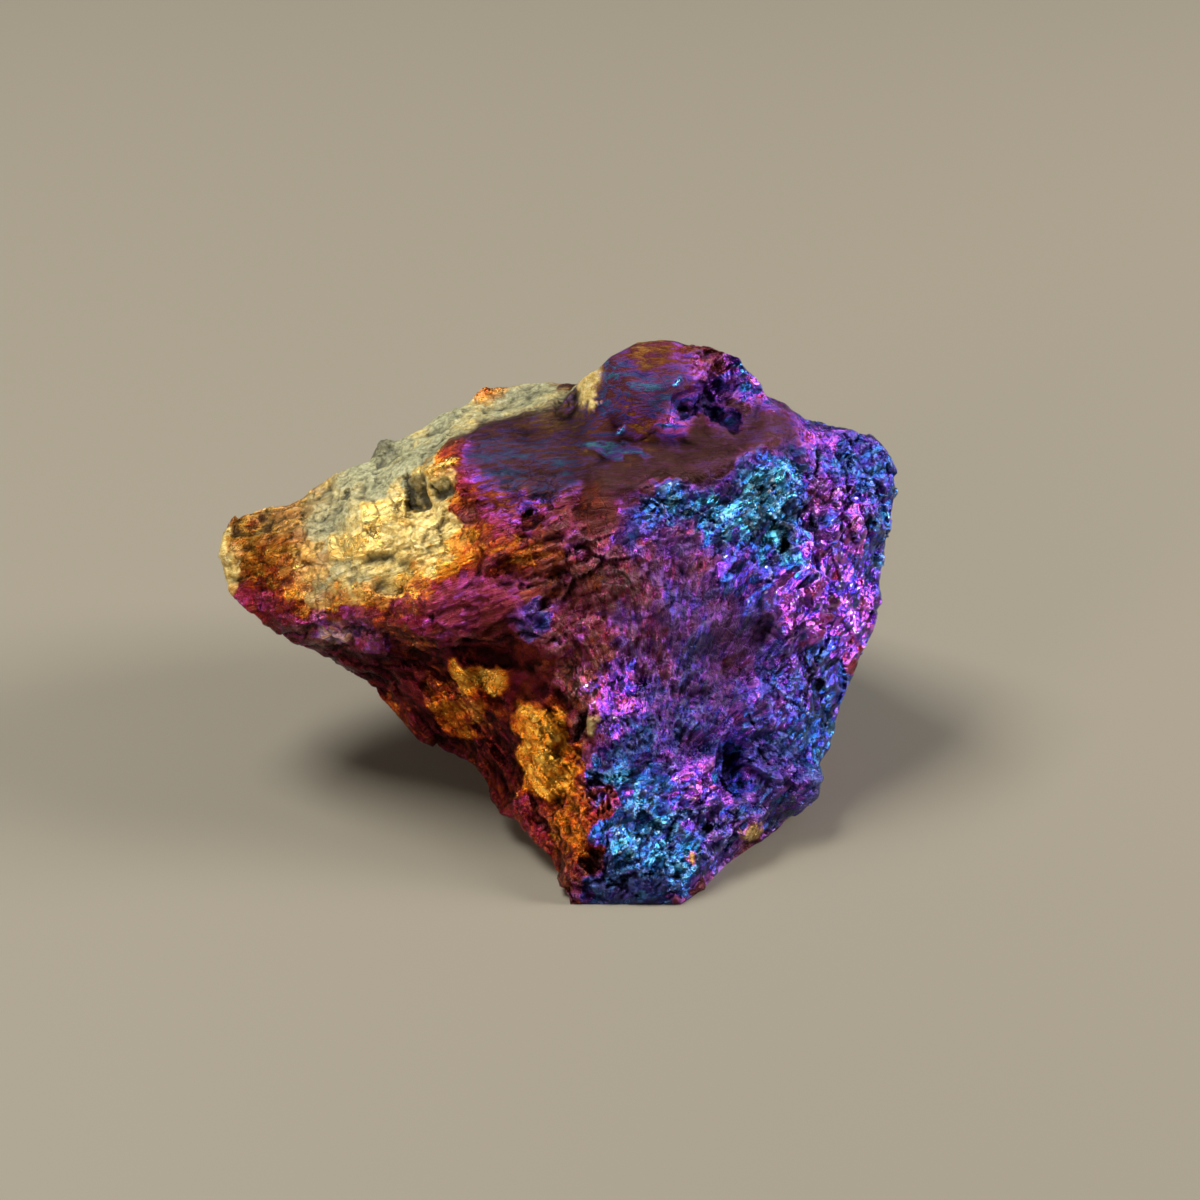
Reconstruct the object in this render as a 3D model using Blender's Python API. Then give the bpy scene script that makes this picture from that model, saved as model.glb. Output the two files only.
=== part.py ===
"""Peacock ore specimen: one broken lump of tarnished copper ore, 51 mm across, that rests on a flat break."""

import math

import bmesh
import bpy
from mathutils import Vector, noise

MM = 0.001

# Corners of the lump, in millimetres: x to the right of the toe, y back from it, z up from the table.
# Each list is one face or edge of the break, and its corners run in order along it.

# The knob at the top: its skyline from left to right, its foot, then the middle of its front.
HUMP_SKYLINE = [
    (-4.5, 26.0, 28.0), (-3.0, 24.5, 30.0), (-1.5, 24.5, 31.5), (0.5, 25.0, 32.5), (3.0, 25.5, 32.5),
    (5.0, 25.5, 32.0), (8.0, 26.0, 30.5), (9.5, 25.5, 29.0), (10.5, 24.5, 27.5),
]
HUMP_FOOT = [(-4.0, 23.0, 26.5), (-0.5, 21.0, 26.5), (2.0, 20.5, 26.5), (5.5, 23.0, 26.5), (8.0, 23.5, 26.5)]
HUMP_FRONT = [(-2.0, 22.5, 28.0), (0.0, 22.5, 30.0), (3.0, 22.5, 30.5), (2.5, 21.0, 28.0), (5.5, 24.0, 28.0)]
HUMP_BROW = [(6.0, 24.0, 30.5), (8.5, 24.5, 29.0)]

# The smooth step in front of the knob: back edge, front edge, middle.
STEP_BACK = [(-13.0, 22.5, 25.5), (-11.0, 24.0, 26.0), (-8.0, 24.5, 26.0), (-5.5, 25.0, 26.5), (11.5, 22.5, 26.5)]
STEP_EDGE = [
    (-13.0, 21.0, 25.0), (-10.5, 19.0, 24.5), (-7.5, 17.5, 24.5), (-4.5, 17.0, 25.0), (-2.0, 17.0, 25.5),
    (1.5, 16.5, 25.0), (5.0, 18.0, 25.5), (8.0, 19.5, 26.0), (10.0, 21.0, 26.5),
]
STEP_MIDDLE = [(-7.5, 21.0, 26.0), (-4.0, 20.0, 26.0), (0.0, 19.0, 26.0), (5.0, 21.0, 26.5)]

# The right shoulder: its skyline from the step down to the right foot, then rows down its front.
SHOULDER_SKYLINE = [
    (12.5, 25.0, 26.0), (14.5, 24.5, 25.0), (16.5, 25.0, 25.0), (18.5, 25.5, 24.0), (19.5, 25.5, 22.5),
    (20.0, 24.5, 20.5), (19.5, 23.5, 18.0), (19.5, 22.0, 15.0), (19.0, 20.0, 13.0), (17.5, 18.5, 13.0),
    (18.0, 18.0, 11.5), (17.0, 16.5, 9.0), (16.0, 14.5, 7.0), (15.0, 12.5, 5.5), (14.0, 11.0, 5.0),
]
SHOULDER_FRONT = [
    (14.5, 23.5, 24.5), (15.0, 21.5, 23.5), (12.5, 19.0, 22.5), (16.0, 20.0, 20.0), (12.0, 16.5, 19.0),
    (15.5, 17.5, 15.5), (10.0, 14.0, 16.5), (14.0, 15.0, 13.0), (12.0, 12.0, 11.0), (13.5, 11.5, 8.0),
    (10.0, 10.5, 10.5),
]

# The long front slope, in rows from the step's edge down to the toe.
FRONT_SLOPE = [
    (1.5, 15.0, 22.5), (6.5, 16.5, 22.5), (2.0, 12.5, 18.0), (7.0, 14.0, 18.5), (8.0, 12.5, 14.5),
    (4.5, 10.5, 14.5), (0.5, 9.5, 13.0), (6.5, 9.5, 11.0), (2.0, 7.0, 10.0), (5.0, 7.0, 7.5),
    (8.0, 8.0, 7.0), (0.5, 4.5, 7.0), (4.5, 4.5, 6.0),
]
# The lip that folds out low on the right, over a recess.
LIP = [
    (11.0, 9.0, 6.5), (13.5, 9.5, 4.5), (13.5, 9.0, 3.0), (10.5, 7.5, 5.0), (8.5, 6.5, 5.0), (5.0, 3.0, 3.5),
    (8.5, 5.5, 3.5), (12.0, 8.0, 2.5),
]
TOE = [
    (-4.5, 0.5, 1.0), (-2.0, 1.0, 2.0), (2.5, 1.5, 2.5), (-1.5, 2.5, 4.0), (-2.0, 4.5, 6.5), (-3.0, 6.5, 8.0),
    (-2.0, 7.0, 10.0), (-3.0, 8.5, 12.0), (-4.5, 3.5, 3.5), (0.5, 0.5, 1.0), (3.5, 1.0, 1.0),
]
# The overhung left face: the foot's outline going back, then the face above it.
LEFT_FOOT = [(-6.5, 3.5, 1.5), (-8.0, 5.5, 2.0), (-9.5, 8.0, 2.5), (-12.0, 12.0, 3.5)]
LEFT_FACE = [
    (-6.0, 6.0, 4.5), (-9.0, 9.5, 7.0), (-5.0, 8.0, 8.5), (-9.5, 10.5, 10.5), (-6.0, 9.5, 12.0),
    (-12.0, 12.0, 10.5), (-11.5, 12.0, 7.0), (-7.0, 8.5, 10.0),
]
LOBE_UNDERSIDE = [
    (-27.5, 17.0, 12.5), (-25.0, 17.0, 10.5), (-22.0, 16.5, 9.0), (-20.0, 16.5, 8.0), (-19.0, 16.0, 6.5),
    (-17.0, 15.0, 4.5), (-14.5, 13.5, 3.0), (-17.0, 14.5, 11.0), (-15.0, 13.5, 8.0), (-21.0, 15.0, 12.5),
]
# The ridge from the lobe's tip to the front, then the slope between it and the step.
RIDGE = [
    (-24.5, 15.0, 14.0), (-20.5, 14.0, 15.5), (-18.0, 13.0, 15.5), (-15.0, 12.0, 16.0), (-13.0, 11.5, 14.5),
    (-12.0, 11.0, 15.5), (-9.0, 11.5, 14.0), (-6.5, 10.5, 16.0), (-4.0, 10.0, 14.5),
]
LEFT_SLOPE = [
    (-12.0, 16.5, 22.0), (-8.0, 15.0, 22.5), (-5.0, 14.5, 23.0), (-2.0, 14.5, 22.0), (-11.0, 13.5, 19.5),
    (-14.5, 13.5, 18.5), (-6.5, 12.5, 19.0), (-2.0, 12.0, 18.5), (-15.0, 12.5, 17.0), (-8.5, 11.5, 18.0),
]
# The wing that reaches out to the left: its upper face, its outline, then the ridge behind it.
LOBE_TOP = [
    (-17.0, 22.0, 22.5), (-14.5, 21.5, 24.5), (-16.5, 19.0, 21.5), (-13.5, 18.0, 23.0), (-17.5, 17.0, 20.0),
    (-21.5, 18.0, 19.0), (-19.5, 20.5, 21.5), (-22.0, 15.5, 17.0), (-27.0, 19.0, 17.5), (-18.0, 14.5, 17.5),
]
LOBE_OUTLINE = [
    (-28.5, 17.5, 14.0), (-30.5, 18.5, 14.5), (-31.0, 20.5, 16.5), (-30.0, 23.5, 18.0), (-27.5, 24.0, 19.0),
    (-25.0, 24.5, 19.5), (-22.0, 25.5, 21.0), (-19.5, 26.0, 21.5),
]
BACK_RIDGE = [
    (-19.0, 27.5, 22.5), (-16.5, 28.5, 22.5), (-13.5, 30.0, 23.5), (-11.5, 32.0, 24.5), (-7.0, 33.0, 24.5),
    (-4.0, 31.5, 25.0), (-10.0, 29.5, 24.0), (-14.5, 26.0, 23.5), (-17.0, 24.0, 22.5),
]
# The back: four broad breaks that meet along its edges, upper right, upper left, then the two below them.
BACK_UPPER_EDGE = [
    (3.5, 28.0, 30.0), (-1.0, 28.0, 29.0), (8.0, 29.0, 27.0), (12.0, 31.0, 22.5), (17.5, 29.0, 21.0),
    (-1.0, 31.5, 26.0), (5.5, 31.5, 26.0),
]
BACK_MIDDLE_EDGE = [
    (19.5, 26.5, 15.5), (15.5, 32.0, 14.5), (9.0, 35.5, 14.0), (3.0, 36.5, 17.5), (-3.5, 37.0, 17.0),
    (-10.0, 35.0, 14.0), (-15.0, 32.0, 12.5), (-20.0, 28.5, 12.0), (-26.0, 24.5, 13.0), (-29.5, 22.0, 14.0),
]
BACK_UPPER = [
    (9.5, 33.5, 19.5), (-6.5, 35.0, 21.5), (1.0, 34.5, 22.5), (-14.0, 32.0, 19.5), (-21.5, 28.0, 18.0),
    (-26.5, 26.0, 16.5),
]
BACK_LOWER = [
    (18.5, 22.0, 9.5), (16.5, 27.5, 8.0), (9.5, 32.0, 7.0), (1.5, 33.0, 8.5), (-6.0, 32.0, 6.5),
    (-13.5, 28.0, 7.0), (-18.0, 23.5, 7.0), (-24.0, 20.5, 10.0), (-15.0, 20.0, 3.5), (15.0, 21.0, 3.0),
    (16.0, 18.0, 5.5), (8.0, 28.5, 2.0), (-3.0, 29.5, 2.0), (-10.5, 25.5, 2.5),
]
# The flat break that it rests on, anticlockwise from the toe's left corner, and a point inside it.
BASE = [
    (-4.5, 0.0, 0.0), (0.5, 0.0, 0.0), (3.5, 0.0, 0.0), (5.0, 1.5, 0.0), (7.0, 4.5, 0.0), (9.0, 6.5, 0.0),
    (11.0, 8.5, 0.0), (12.5, 11.0, 0.0), (13.5, 15.0, 0.0), (11.5, 21.5, 0.0), (6.0, 25.5, 0.0),
    (-2.0, 26.5, 0.0), (-8.5, 24.0, 0.0), (-10.5, 19.5, 0.0), (-8.5, 15.5, 0.0), (-5.5, 9.0, 0.0),
    (1.0, 14.0, 0.0),
]
CORNERS = [
    *HUMP_SKYLINE, *HUMP_FOOT, *HUMP_FRONT, *HUMP_BROW, *STEP_BACK, *STEP_EDGE, *STEP_MIDDLE,
    *SHOULDER_SKYLINE, *SHOULDER_FRONT, *FRONT_SLOPE, *LIP, *TOE, *LEFT_FOOT, *LEFT_FACE, *LOBE_UNDERSIDE,
    *RIDGE, *LEFT_SLOPE, *LOBE_TOP, *LOBE_OUTLINE, *BACK_RIDGE, *BACK_UPPER_EDGE, *BACK_MIDDLE_EDGE,
    *BACK_UPPER, *BACK_LOWER, *BASE,
]
HEART = Vector((-2.0, 18.5, 14.0))  # a point inside the lump from which every corner can be seen

LONGEST_EDGE = 1.55
LEVEL = 0.0001  # a corner below this height belongs to the resting face
CLEARANCE = 0.05  # the least height of the rough surface over the table

# Local forms, each a place on the surface, how far it spreads, and how far it stands out (or in, if negative).
PITS = [
    ((-11.0, 11.5, 13.5), 2.6, -1.1),  # scoop under the ridge
    ((-15.5, 13.5, 12.0), 1.6, -0.9),  # hole in the wing's underside
    ((-7.5, 16.0, 23.3), 1.3, -0.6),  # curled scoop below the step
    ((5.5, 25.5, 28.0), 1.6, -0.7),  # dark recess in the knob's right
    ((7.5, 8.2, 5.5), 1.3, -0.9),  # gap behind the lip
    ((6.0, 11.5, 14.0), 3.2, -0.5),  # trough down the front
    ((-3.6, 7.5, 9.5), 0.9, -0.7),  # crack at the foot of the front edge
    ((-1.8, 4.2, 5.5), 0.9, -0.6),  # gap lower down the same edge
    ((-13.5, 12.8, 17.0), 0.9, -0.5),  # slit above the ridge
]
LUMPS = [
    ((-17.5, 22.0, 22.5), 2.2, 0.5),  # block at the middle of the wing
    ((-20.0, 19.5, 20.5), 1.9, 0.5),
    ((-13.8, 20.0, 24.0), 1.4, 0.5),  # rim of the notch beside the step
    ((-9.5, 13.0, 18.8), 2.2, 0.4),  # leaf below the slope
    ((-2.4, 7.4, 11.0), 0.8, 0.5),  # small knob over the crack
    ((-4.6, 8.3, 8.2), 1.8, 0.5),  # plates on the left face
    ((-8.5, 9.8, 9.5), 1.5, 0.4),
    ((17.0, 21.0, 19.0), 2.6, 0.5),  # swells on the shoulder
    ((16.5, 16.8, 12.5), 2.2, 0.5),
    ((3.5, 2.4, 4.0), 1.8, 0.4),  # block over the toe
    ((12.3, 8.6, 4.6), 1.2, 0.4),  # fold of the lip
]
# Places where the break is smooth, each with how far the smoothness reaches.
SMOOTH = [((3.0, 21.0, 26.0), 8.0), ((1.0, 23.0, 29.5), 4.0), ((-9.0, 22.0, 26.0), 4.0)]
LEAST_RELIEF = 0.3  # how much of the relief is left at the middle of a smooth place

# The relief of the break, as wavelengths and heights.
HACKLE_SIZE = 6.5
HACKLE_HEIGHT = 0.24
COARSE_CHIPS = (4.2, 0.26)
FINE_CHIPS = (2.2, 0.14)
LEDGE_SPACING = 3.6
LEDGE_HEIGHT = 0.26
LEDGE_LEAN = Vector((0.35, -0.25, 0.9))  # the ledges step up along this direction
LEDGE_WANDER = 0.8
CHIP_STRIDE = 3.7  # how far apart neighbouring chips read the noise that leans them
# Shifts that make one smooth noise into three unrelated ones, for the way a chip leans.
APART = [Vector((9.3, -1.5, -7.9)), Vector((-31.4, 22.7, 5.6)), Vector((13.8, 47.1, -26.2))]


def skin(corners):
    """A closed skin of triangles: each joins three corners that are neighbours as seen from the heart."""
    mesh = bmesh.new()
    points = [Vector(corner) for corner in corners]
    seen = [mesh.verts.new((point - HEART).normalized()) for point in points]
    bmesh.ops.convex_hull(mesh, input=seen)
    for vert, point in zip(seen, points):
        vert.co = point
    bmesh.ops.recalc_face_normals(mesh, faces=mesh.faces)
    return mesh


def on_base(vert):
    return vert.co.z < LEVEL


def within_base(face):
    return all(on_base(vert) for vert in face.verts)


def split_long_edges(mesh):
    """Halves every edge that is too long, again and again, and leaves the resting face in its few triangles."""
    while True:
        too_long = [
            edge for edge in mesh.edges
            if edge.calc_length() > LONGEST_EDGE and not all(within_base(face) for face in edge.link_faces)
        ]
        if not too_long:
            return
        bmesh.ops.subdivide_edges(mesh, edges=too_long, cuts=1)
        bmesh.ops.triangulate(mesh, faces=[face for face in mesh.faces if len(face.verts) > 3])


def hackle(point):
    """Branching ridges of a rough break."""
    return HACKLE_HEIGHT * (noise.ridged_multi_fractal(point / HACKLE_SIZE, 1.0, 2.0, 3, 1.0, 2.0) - 1.0)


def chips(point, size, tilt):
    """Height of small flat breaks, each about the given size across and leaning its own way."""
    centre = noise.voronoi(point / size)[1][0]
    lean = Vector([noise.noise(centre * CHIP_STRIDE + shift) for shift in APART])
    return (point / size - centre).dot(lean) * tilt * size


def ledges(point):
    """Benches that cross the lump, each a slow rise and then a sharp drop."""
    climb = point.dot(LEDGE_LEAN) / LEDGE_SPACING + LEDGE_WANDER * noise.noise(point / HACKLE_SIZE)
    return LEDGE_HEIGHT * (climb % 1.0 - 0.5)


def nearness(point, place, spread):
    """One at the place, falling to nothing over about twice the spread."""
    away = (point - Vector(place)).length / spread
    return math.exp(-away * away)


def relief(point):
    """How far the broken surface stands out from the plain faces between the corners."""
    rough = hackle(point) + chips(point, *COARSE_CHIPS) + chips(point, *FINE_CHIPS) + ledges(point)
    for place, spread in SMOOTH:
        rough *= 1.0 - (1.0 - LEAST_RELIEF) * nearness(point, place, spread)
    return rough + sum(rise * nearness(point, place, spread) for place, spread, rise in PITS + LUMPS)


def roughen(mesh):
    mesh.normal_update()
    moves = [(vert, vert.normal * relief(vert.co)) for vert in mesh.verts if not on_base(vert)]
    for vert, move in moves:
        vert.co += move
        vert.co.z = max(vert.co.z, CLEARANCE)


def stand_at_origin(mesh):
    """Puts the middle of the lump's box over the origin, its resting face down, and turns it into metres."""
    middle = [(min(v.co[k] for v in mesh.verts) + max(v.co[k] for v in mesh.verts)) / 2 for k in range(2)]
    bmesh.ops.translate(mesh, verts=mesh.verts, vec=(-middle[0], -middle[1], 0.0))
    bmesh.ops.scale(mesh, verts=mesh.verts, vec=(MM, MM, MM))


def tarnished_ore():
    """Purple-brown tarnish, the colour that most of the lump has from a step away."""
    material = bpy.data.materials.new("tarnished ore")
    material.use_nodes = True
    shader = material.node_tree.nodes["Principled BSDF"]
    shader.inputs["Base Color"].default_value = (0.16, 0.06, 0.17, 1.0)
    shader.inputs["Metallic"].default_value = 0.85
    shader.inputs["Roughness"].default_value = 0.38
    return material


def ore():
    mesh = skin(CORNERS)
    split_long_edges(mesh)
    roughen(mesh)
    stand_at_origin(mesh)
    data = bpy.data.meshes.new("ore")
    mesh.to_mesh(data)
    mesh.free()
    data.materials.append(tarnished_ore())
    lump = bpy.data.objects.new("ore", data)
    bpy.context.scene.collection.objects.link(lump)
    return lump


for leftover in list(bpy.data.objects):
    bpy.data.objects.remove(leftover)
ore()
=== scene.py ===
"""The looks of the peacock ore lump: a fine broken skin, and a tarnish coloured by its thickness."""
import math

import bmesh
import bpy
import numpy as np
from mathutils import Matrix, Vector, noise


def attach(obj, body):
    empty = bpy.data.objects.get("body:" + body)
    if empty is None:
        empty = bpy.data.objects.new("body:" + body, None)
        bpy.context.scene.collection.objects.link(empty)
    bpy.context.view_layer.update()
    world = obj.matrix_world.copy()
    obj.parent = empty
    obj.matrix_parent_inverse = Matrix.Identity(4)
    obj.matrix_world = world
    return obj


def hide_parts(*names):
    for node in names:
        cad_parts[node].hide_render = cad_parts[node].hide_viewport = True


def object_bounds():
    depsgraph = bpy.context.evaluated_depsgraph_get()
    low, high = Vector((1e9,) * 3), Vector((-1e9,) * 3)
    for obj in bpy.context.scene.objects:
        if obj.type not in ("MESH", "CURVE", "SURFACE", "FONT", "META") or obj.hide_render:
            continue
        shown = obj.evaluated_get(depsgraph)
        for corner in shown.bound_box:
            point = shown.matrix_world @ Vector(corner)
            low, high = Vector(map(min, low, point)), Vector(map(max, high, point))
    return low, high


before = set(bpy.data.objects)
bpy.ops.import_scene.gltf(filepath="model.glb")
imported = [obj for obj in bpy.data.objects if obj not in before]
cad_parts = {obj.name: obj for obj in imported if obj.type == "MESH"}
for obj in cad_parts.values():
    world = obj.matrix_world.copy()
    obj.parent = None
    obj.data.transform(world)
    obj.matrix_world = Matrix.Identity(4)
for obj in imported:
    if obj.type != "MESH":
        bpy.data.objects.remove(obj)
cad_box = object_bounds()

MM = 0.001
# Places on the lump are in millimetres from its toe: x to the right, y back, z up from the table.
TOE = np.array((5.24, -18.52, 0.0))  # the toe's own place in the frame
COS_35, SIN_35 = 0.819, 0.574  # the camera looks down on the lump at 35 degrees

# ---------------------------------------------------------------- tarnish
# The film of tarnish grows from bare gold (0), through orange, red, magenta, violet and blue, to teal (1).
# Each zone: place, spread, film, dull (matt brown veil), glint (sparkling grain), bare (no film), shade
# (painted shade that darkens the colour).
WING = [
    ((-30.8, 20.3, 16.3), 1.2, 0.04, 0.2, 0.0, 0.8, 0.0),
    ((-28.8, 20.5, 17.3), 1.8, 0.17, 0.05, 0.0, 0.0, 0.85),
    ((-26.5, 19.5, 17.6), 2.0, 0.16, 0.05, 0.0, 0.0, 0.82),
    ((-26.0, 22.5, 19.0), 2.0, 0.10, 0.1, 0.0, 0.3, 0.5),
    ((-27.5, 17.3, 14.8), 1.6, 0.36, 0.15, 0.2, 0.0, 0.1),
    ((-24.0, 17.5, 17.8), 1.6, 0.12, 0.0, 0.1, 0.4, 0.0),
    ((-22.0, 16.0, 17.5), 1.6, 0.06, 0.4, 0.1, 0.9, 0.1),
    ((-19.5, 16.0, 18.2), 1.8, 0.05, 0.3, 0.1, 1.0, 0.1),
    ((-22.5, 21.0, 20.0), 2.4, 0.05, 0.5, 0.0, 0.9, 0.1),
    ((-14.5, 17.5, 21.5), 2.2, 0.03, 0.0, 0.1, 0.75, 0.0),
    ((-17.0, 16.6, 19.8), 1.8, 0.03, 0.0, 0.1, 0.8, 0.0),
    ((-12.3, 18.5, 23.5), 0.9, 0.12, 0.0, 0.05, 0.0, 0.0),
    ((-12.9, 21.3, 24.9), 0.8, 0.14, 0.0, 0.05, 0.0, 0.0),
    ((-11.6, 16.3, 21.6), 0.9, 0.13, 0.0, 0.05, 0.0, 0.0),
    ((-13.0, 14.8, 19.8), 1.1, 0.12, 0.0, 0.05, 0.0, 0.0),
    ((-16.0, 14.4, 18.4), 1.1, 0.11, 0.0, 0.05, 0.1, 0.0),
    ((-19.0, 14.6, 17.2), 1.1, 0.12, 0.0, 0.05, 0.0, 0.0),
    ((-22.0, 15.0, 16.3), 1.1, 0.13, 0.0, 0.05, 0.0, 0.0),
    ((-24.6, 16.0, 15.9), 1.1, 0.16, 0.0, 0.05, 0.0, 0.1),
    ((-18.0, 24.5, 22.2), 2.4, 0.05, 0.8, 0.0, 1.0, 0.15),
    ((-13.5, 28.5, 23.6), 3.2, 0.05, 0.45, 0.0, 1.0, 0.25),
    ((-6.5, 30.5, 24.6), 3.4, 0.06, 0.5, 0.0, 1.0, 0.30),
    ((-11.5, 32.0, 24.3), 0.9, 0.17, 0.2, 0.0, 0.0, 0.2),
    ((-4.0, 31.8, 25.2), 1.3, 0.30, 0.6, 0.0, 0.0, 0.5),
    ((-19.2, 28.0, 22.5), 1.0, 0.10, 0.5, 0.0, 1.0, 0.9),
]
STEP = [
    ((-12.6, 21.3, 25.3), 0.8, 0.37, 0.6, 0.0, 0.0, 0.2),
    ((-10.0, 20.6, 25.4), 2.0, 0.55, 1.05, 0.0, 0.0, 0.35),
    ((-6.4, 19.4, 25.4), 2.0, 0.54, 1.10, 0.0, 0.0, 0.45),
    ((-9.5, 23.6, 26.1), 1.8, 0.36, 1.0, 0.0, 0.0, 0.5),
    ((-4.5, 22.3, 26.4), 2.8, 0.32, 1.05, 0.0, 0.0, 0.5),
    ((0.5, 19.0, 26.0), 3.0, 0.33, 1.05, 0.0, 0.0, 0.5),
    ((5.5, 21.0, 26.5), 3.2, 0.36, 1.05, 0.0, 0.0, 0.5),
    ((9.5, 22.5, 26.8), 2.2, 0.42, 1.0, 0.0, 0.0, 0.4),
]
HUMP = [
    ((-1.5, 22.4, 28.0), 1.6, 0.48, 0.8, 0.0, 0.0, 0.35),
    ((0.5, 23.2, 30.0), 1.9, 0.59, 0.86, 0.0, 0.0, 0.30),
    ((1.0, 24.6, 32.0), 1.2, 0.22, 0.75, 0.0, 0.0, 0.4),
    ((0.5, 21.4, 27.4), 1.2, 0.34, 0.7, 0.1, 0.0, 0.3),
    ((6.3, 24.6, 31.0), 1.6, 0.37, 0.5, 0.3, 0.0, 0.35),
    ((8.0, 25.2, 29.8), 0.9, 0.62, 0.1, 0.8, 0.0, 0.1),
    ((9.8, 25.0, 28.3), 1.1, 0.56, 0.1, 0.9, 0.0, 0.0),
    ((5.6, 24.0, 28.0), 1.3, 0.55, 0.1, 0.2, 0.0, 0.6),
    ((3.2, 21.4, 27.8), 0.9, 0.54, 0.3, 0.3, 0.0, 0.1),
    ((-3.4, 24.2, 29.2), 0.8, 0.02, 0.0, 0.1, 0.9, 0.1),
]
LEFT_SLOPE = [
    ((-11.6, 18.6, 23.9), 1.0, 0.39, 0.4, 0.0, 0.0, 0.1),
    ((-10.8, 17.0, 22.9), 1.2, 0.36, 0.35, 0.0, 0.0, 0.1),
    ((-8.5, 15.8, 22.9), 1.4, 0.39, 0.4, 0.1, 0.0, 0.15),
    ((-5.0, 15.2, 23.4), 1.4, 0.35, 0.5, 0.3, 0.0, 0.2),
    ((-2.6, 15.6, 23.8), 1.2, 0.28, 0.7, 0.3, 0.0, 0.3),
    ((-8.6, 14.6, 21.3), 1.2, 0.15, 0.1, 0.2, 0.0, 0.1),
    ((-6.0, 14.0, 21.4), 1.2, 0.23, 0.4, 0.3, 0.0, 0.2),
    ((-3.4, 13.6, 21.4), 1.4, 0.34, 0.4, 0.5, 0.0, 0.1),
    ((-10.3, 14.0, 19.8), 1.0, 0.30, 0.1, 0.2, 0.0, 0.1),
    ((-14.2, 12.9, 17.3), 1.1, 0.35, 0.1, 0.2, 0.0, 0.1),
    ((-17.5, 13.2, 16.2), 1.1, 0.30, 0.1, 0.3, 0.0, 0.1),
    ((-21.0, 14.0, 15.6), 1.1, 0.35, 0.1, 0.3, 0.0, 0.1),
    ((-11.8, 12.8, 18.2), 1.6, 0.38, 0.4, 0.0, 0.0, 0.1),
    ((-8.8, 12.6, 18.8), 1.6, 0.37, 0.5, 0.1, 0.0, 0.15),
    ((-6.0, 13.0, 19.8), 1.6, 0.28, 0.4, 0.3, 0.0, 0.1),
    ((-4.0, 12.0, 18.4), 1.6, 0.34, 0.5, 0.4, 0.0, 0.2),
    ((-6.6, 11.9, 17.5), 1.3, 0.58, 0.5, 0.7, 0.0, 0.55),
    ((-3.4, 10.8, 16.4), 1.5, 0.34, 0.4, 0.6, 0.0, 0.3),
    ((-11.0, 12.0, 16.4), 1.3, 0.34, 0.3, 0.3, 0.0, 0.3),
]
LEFT_FACE = [
    ((-24.0, 15.2, 14.4), 1.2, 0.40, 0.1, 0.4, 0.0, 0.1),
    ((-22.7, 15.2, 13.2), 0.9, 0.47, 0.1, 1.0, 0.5, 0.2),
    ((-19.5, 14.4, 14.2), 1.4, 0.44, 0.2, 0.5, 0.0, 0.5),
    ((-16.6, 13.0, 14.2), 1.2, 0.20, 0.1, 0.4, 0.0, 0.3),
    ((-25.0, 17.0, 10.8), 2.0, 0.34, 0.2, 0.2, 0.0, 0.7),
    ((-20.0, 15.6, 10.2), 2.0, 0.33, 0.1, 0.0, 0.0, 0.8),
    ((-17.0, 14.2, 8.0), 2.0, 0.30, 0.0, 0.0, 0.0, 0.8),
    ((-17.8, 15.2, 5.8), 1.0, 0.21, 0.0, 0.1, 0.0, 0.2),
    ((-14.6, 13.2, 6.4), 1.6, 0.30, 0.0, 0.0, 0.0, 0.8),
    ((-13.6, 12.6, 11.8), 1.5, 0.31, 0.0, 0.0, 0.0, 0.8),
    ((-9.5, 11.0, 13.8), 1.6, 0.31, 0.1, 0.0, 0.0, 0.75),
    ((-6.6, 9.9, 12.6), 1.5, 0.30, 0.2, 0.1, 0.0, 0.6),
    ((-12.4, 12.0, 9.0), 1.0, 0.15, 0.0, 0.2, 0.0, 0.0),
    ((-14.0, 12.8, 9.2), 0.9, 0.19, 0.0, 0.2, 0.0, 0.1),
    ((-10.8, 11.5, 11.5), 1.0, 0.09, 0.0, 0.1, 0.0, 0.0),
    ((-9.2, 10.4, 10.0), 1.0, 0.30, 0.0, 0.0, 0.0, 0.85),
    ((-6.9, 8.6, 9.8), 1.3, 0.13, 0.0, 0.0, 0.0, 0.0),
    ((-6.6, 7.2, 6.6), 1.4, 0.14, 0.0, 0.0, 0.0, 0.0),
    ((-8.4, 8.8, 7.6), 1.1, 0.30, 0.0, 0.0, 0.0, 0.85),
    ((-10.6, 10.2, 6.4), 1.4, 0.30, 0.0, 0.0, 0.0, 0.85),
    ((-10.6, 9.6, 4.0), 1.4, 0.28, 0.0, 0.0, 0.0, 0.75),
    ((-7.2, 5.2, 3.0), 1.2, 0.29, 0.0, 0.2, 0.0, 0.35),
    ((-4.6, 4.4, 4.2), 1.3, 0.18, 0.0, 0.2, 0.0, 0.35),
    ((-3.6, 2.4, 2.6), 1.2, 0.28, 0.0, 0.2, 0.0, 0.6),
    ((-4.5, 1.0, 1.2), 1.0, 0.22, 0.2, 0.3, 0.0, 0.5),
    ((-4.4, 8.4, 11.3), 1.0, 0.30, 0.3, 0.6, 0.0, 0.3),
    ((-1.9, 4.5, 6.0), 0.5, 0.27, 0.0, 0.6, 0.0, 0.0),
]
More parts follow.
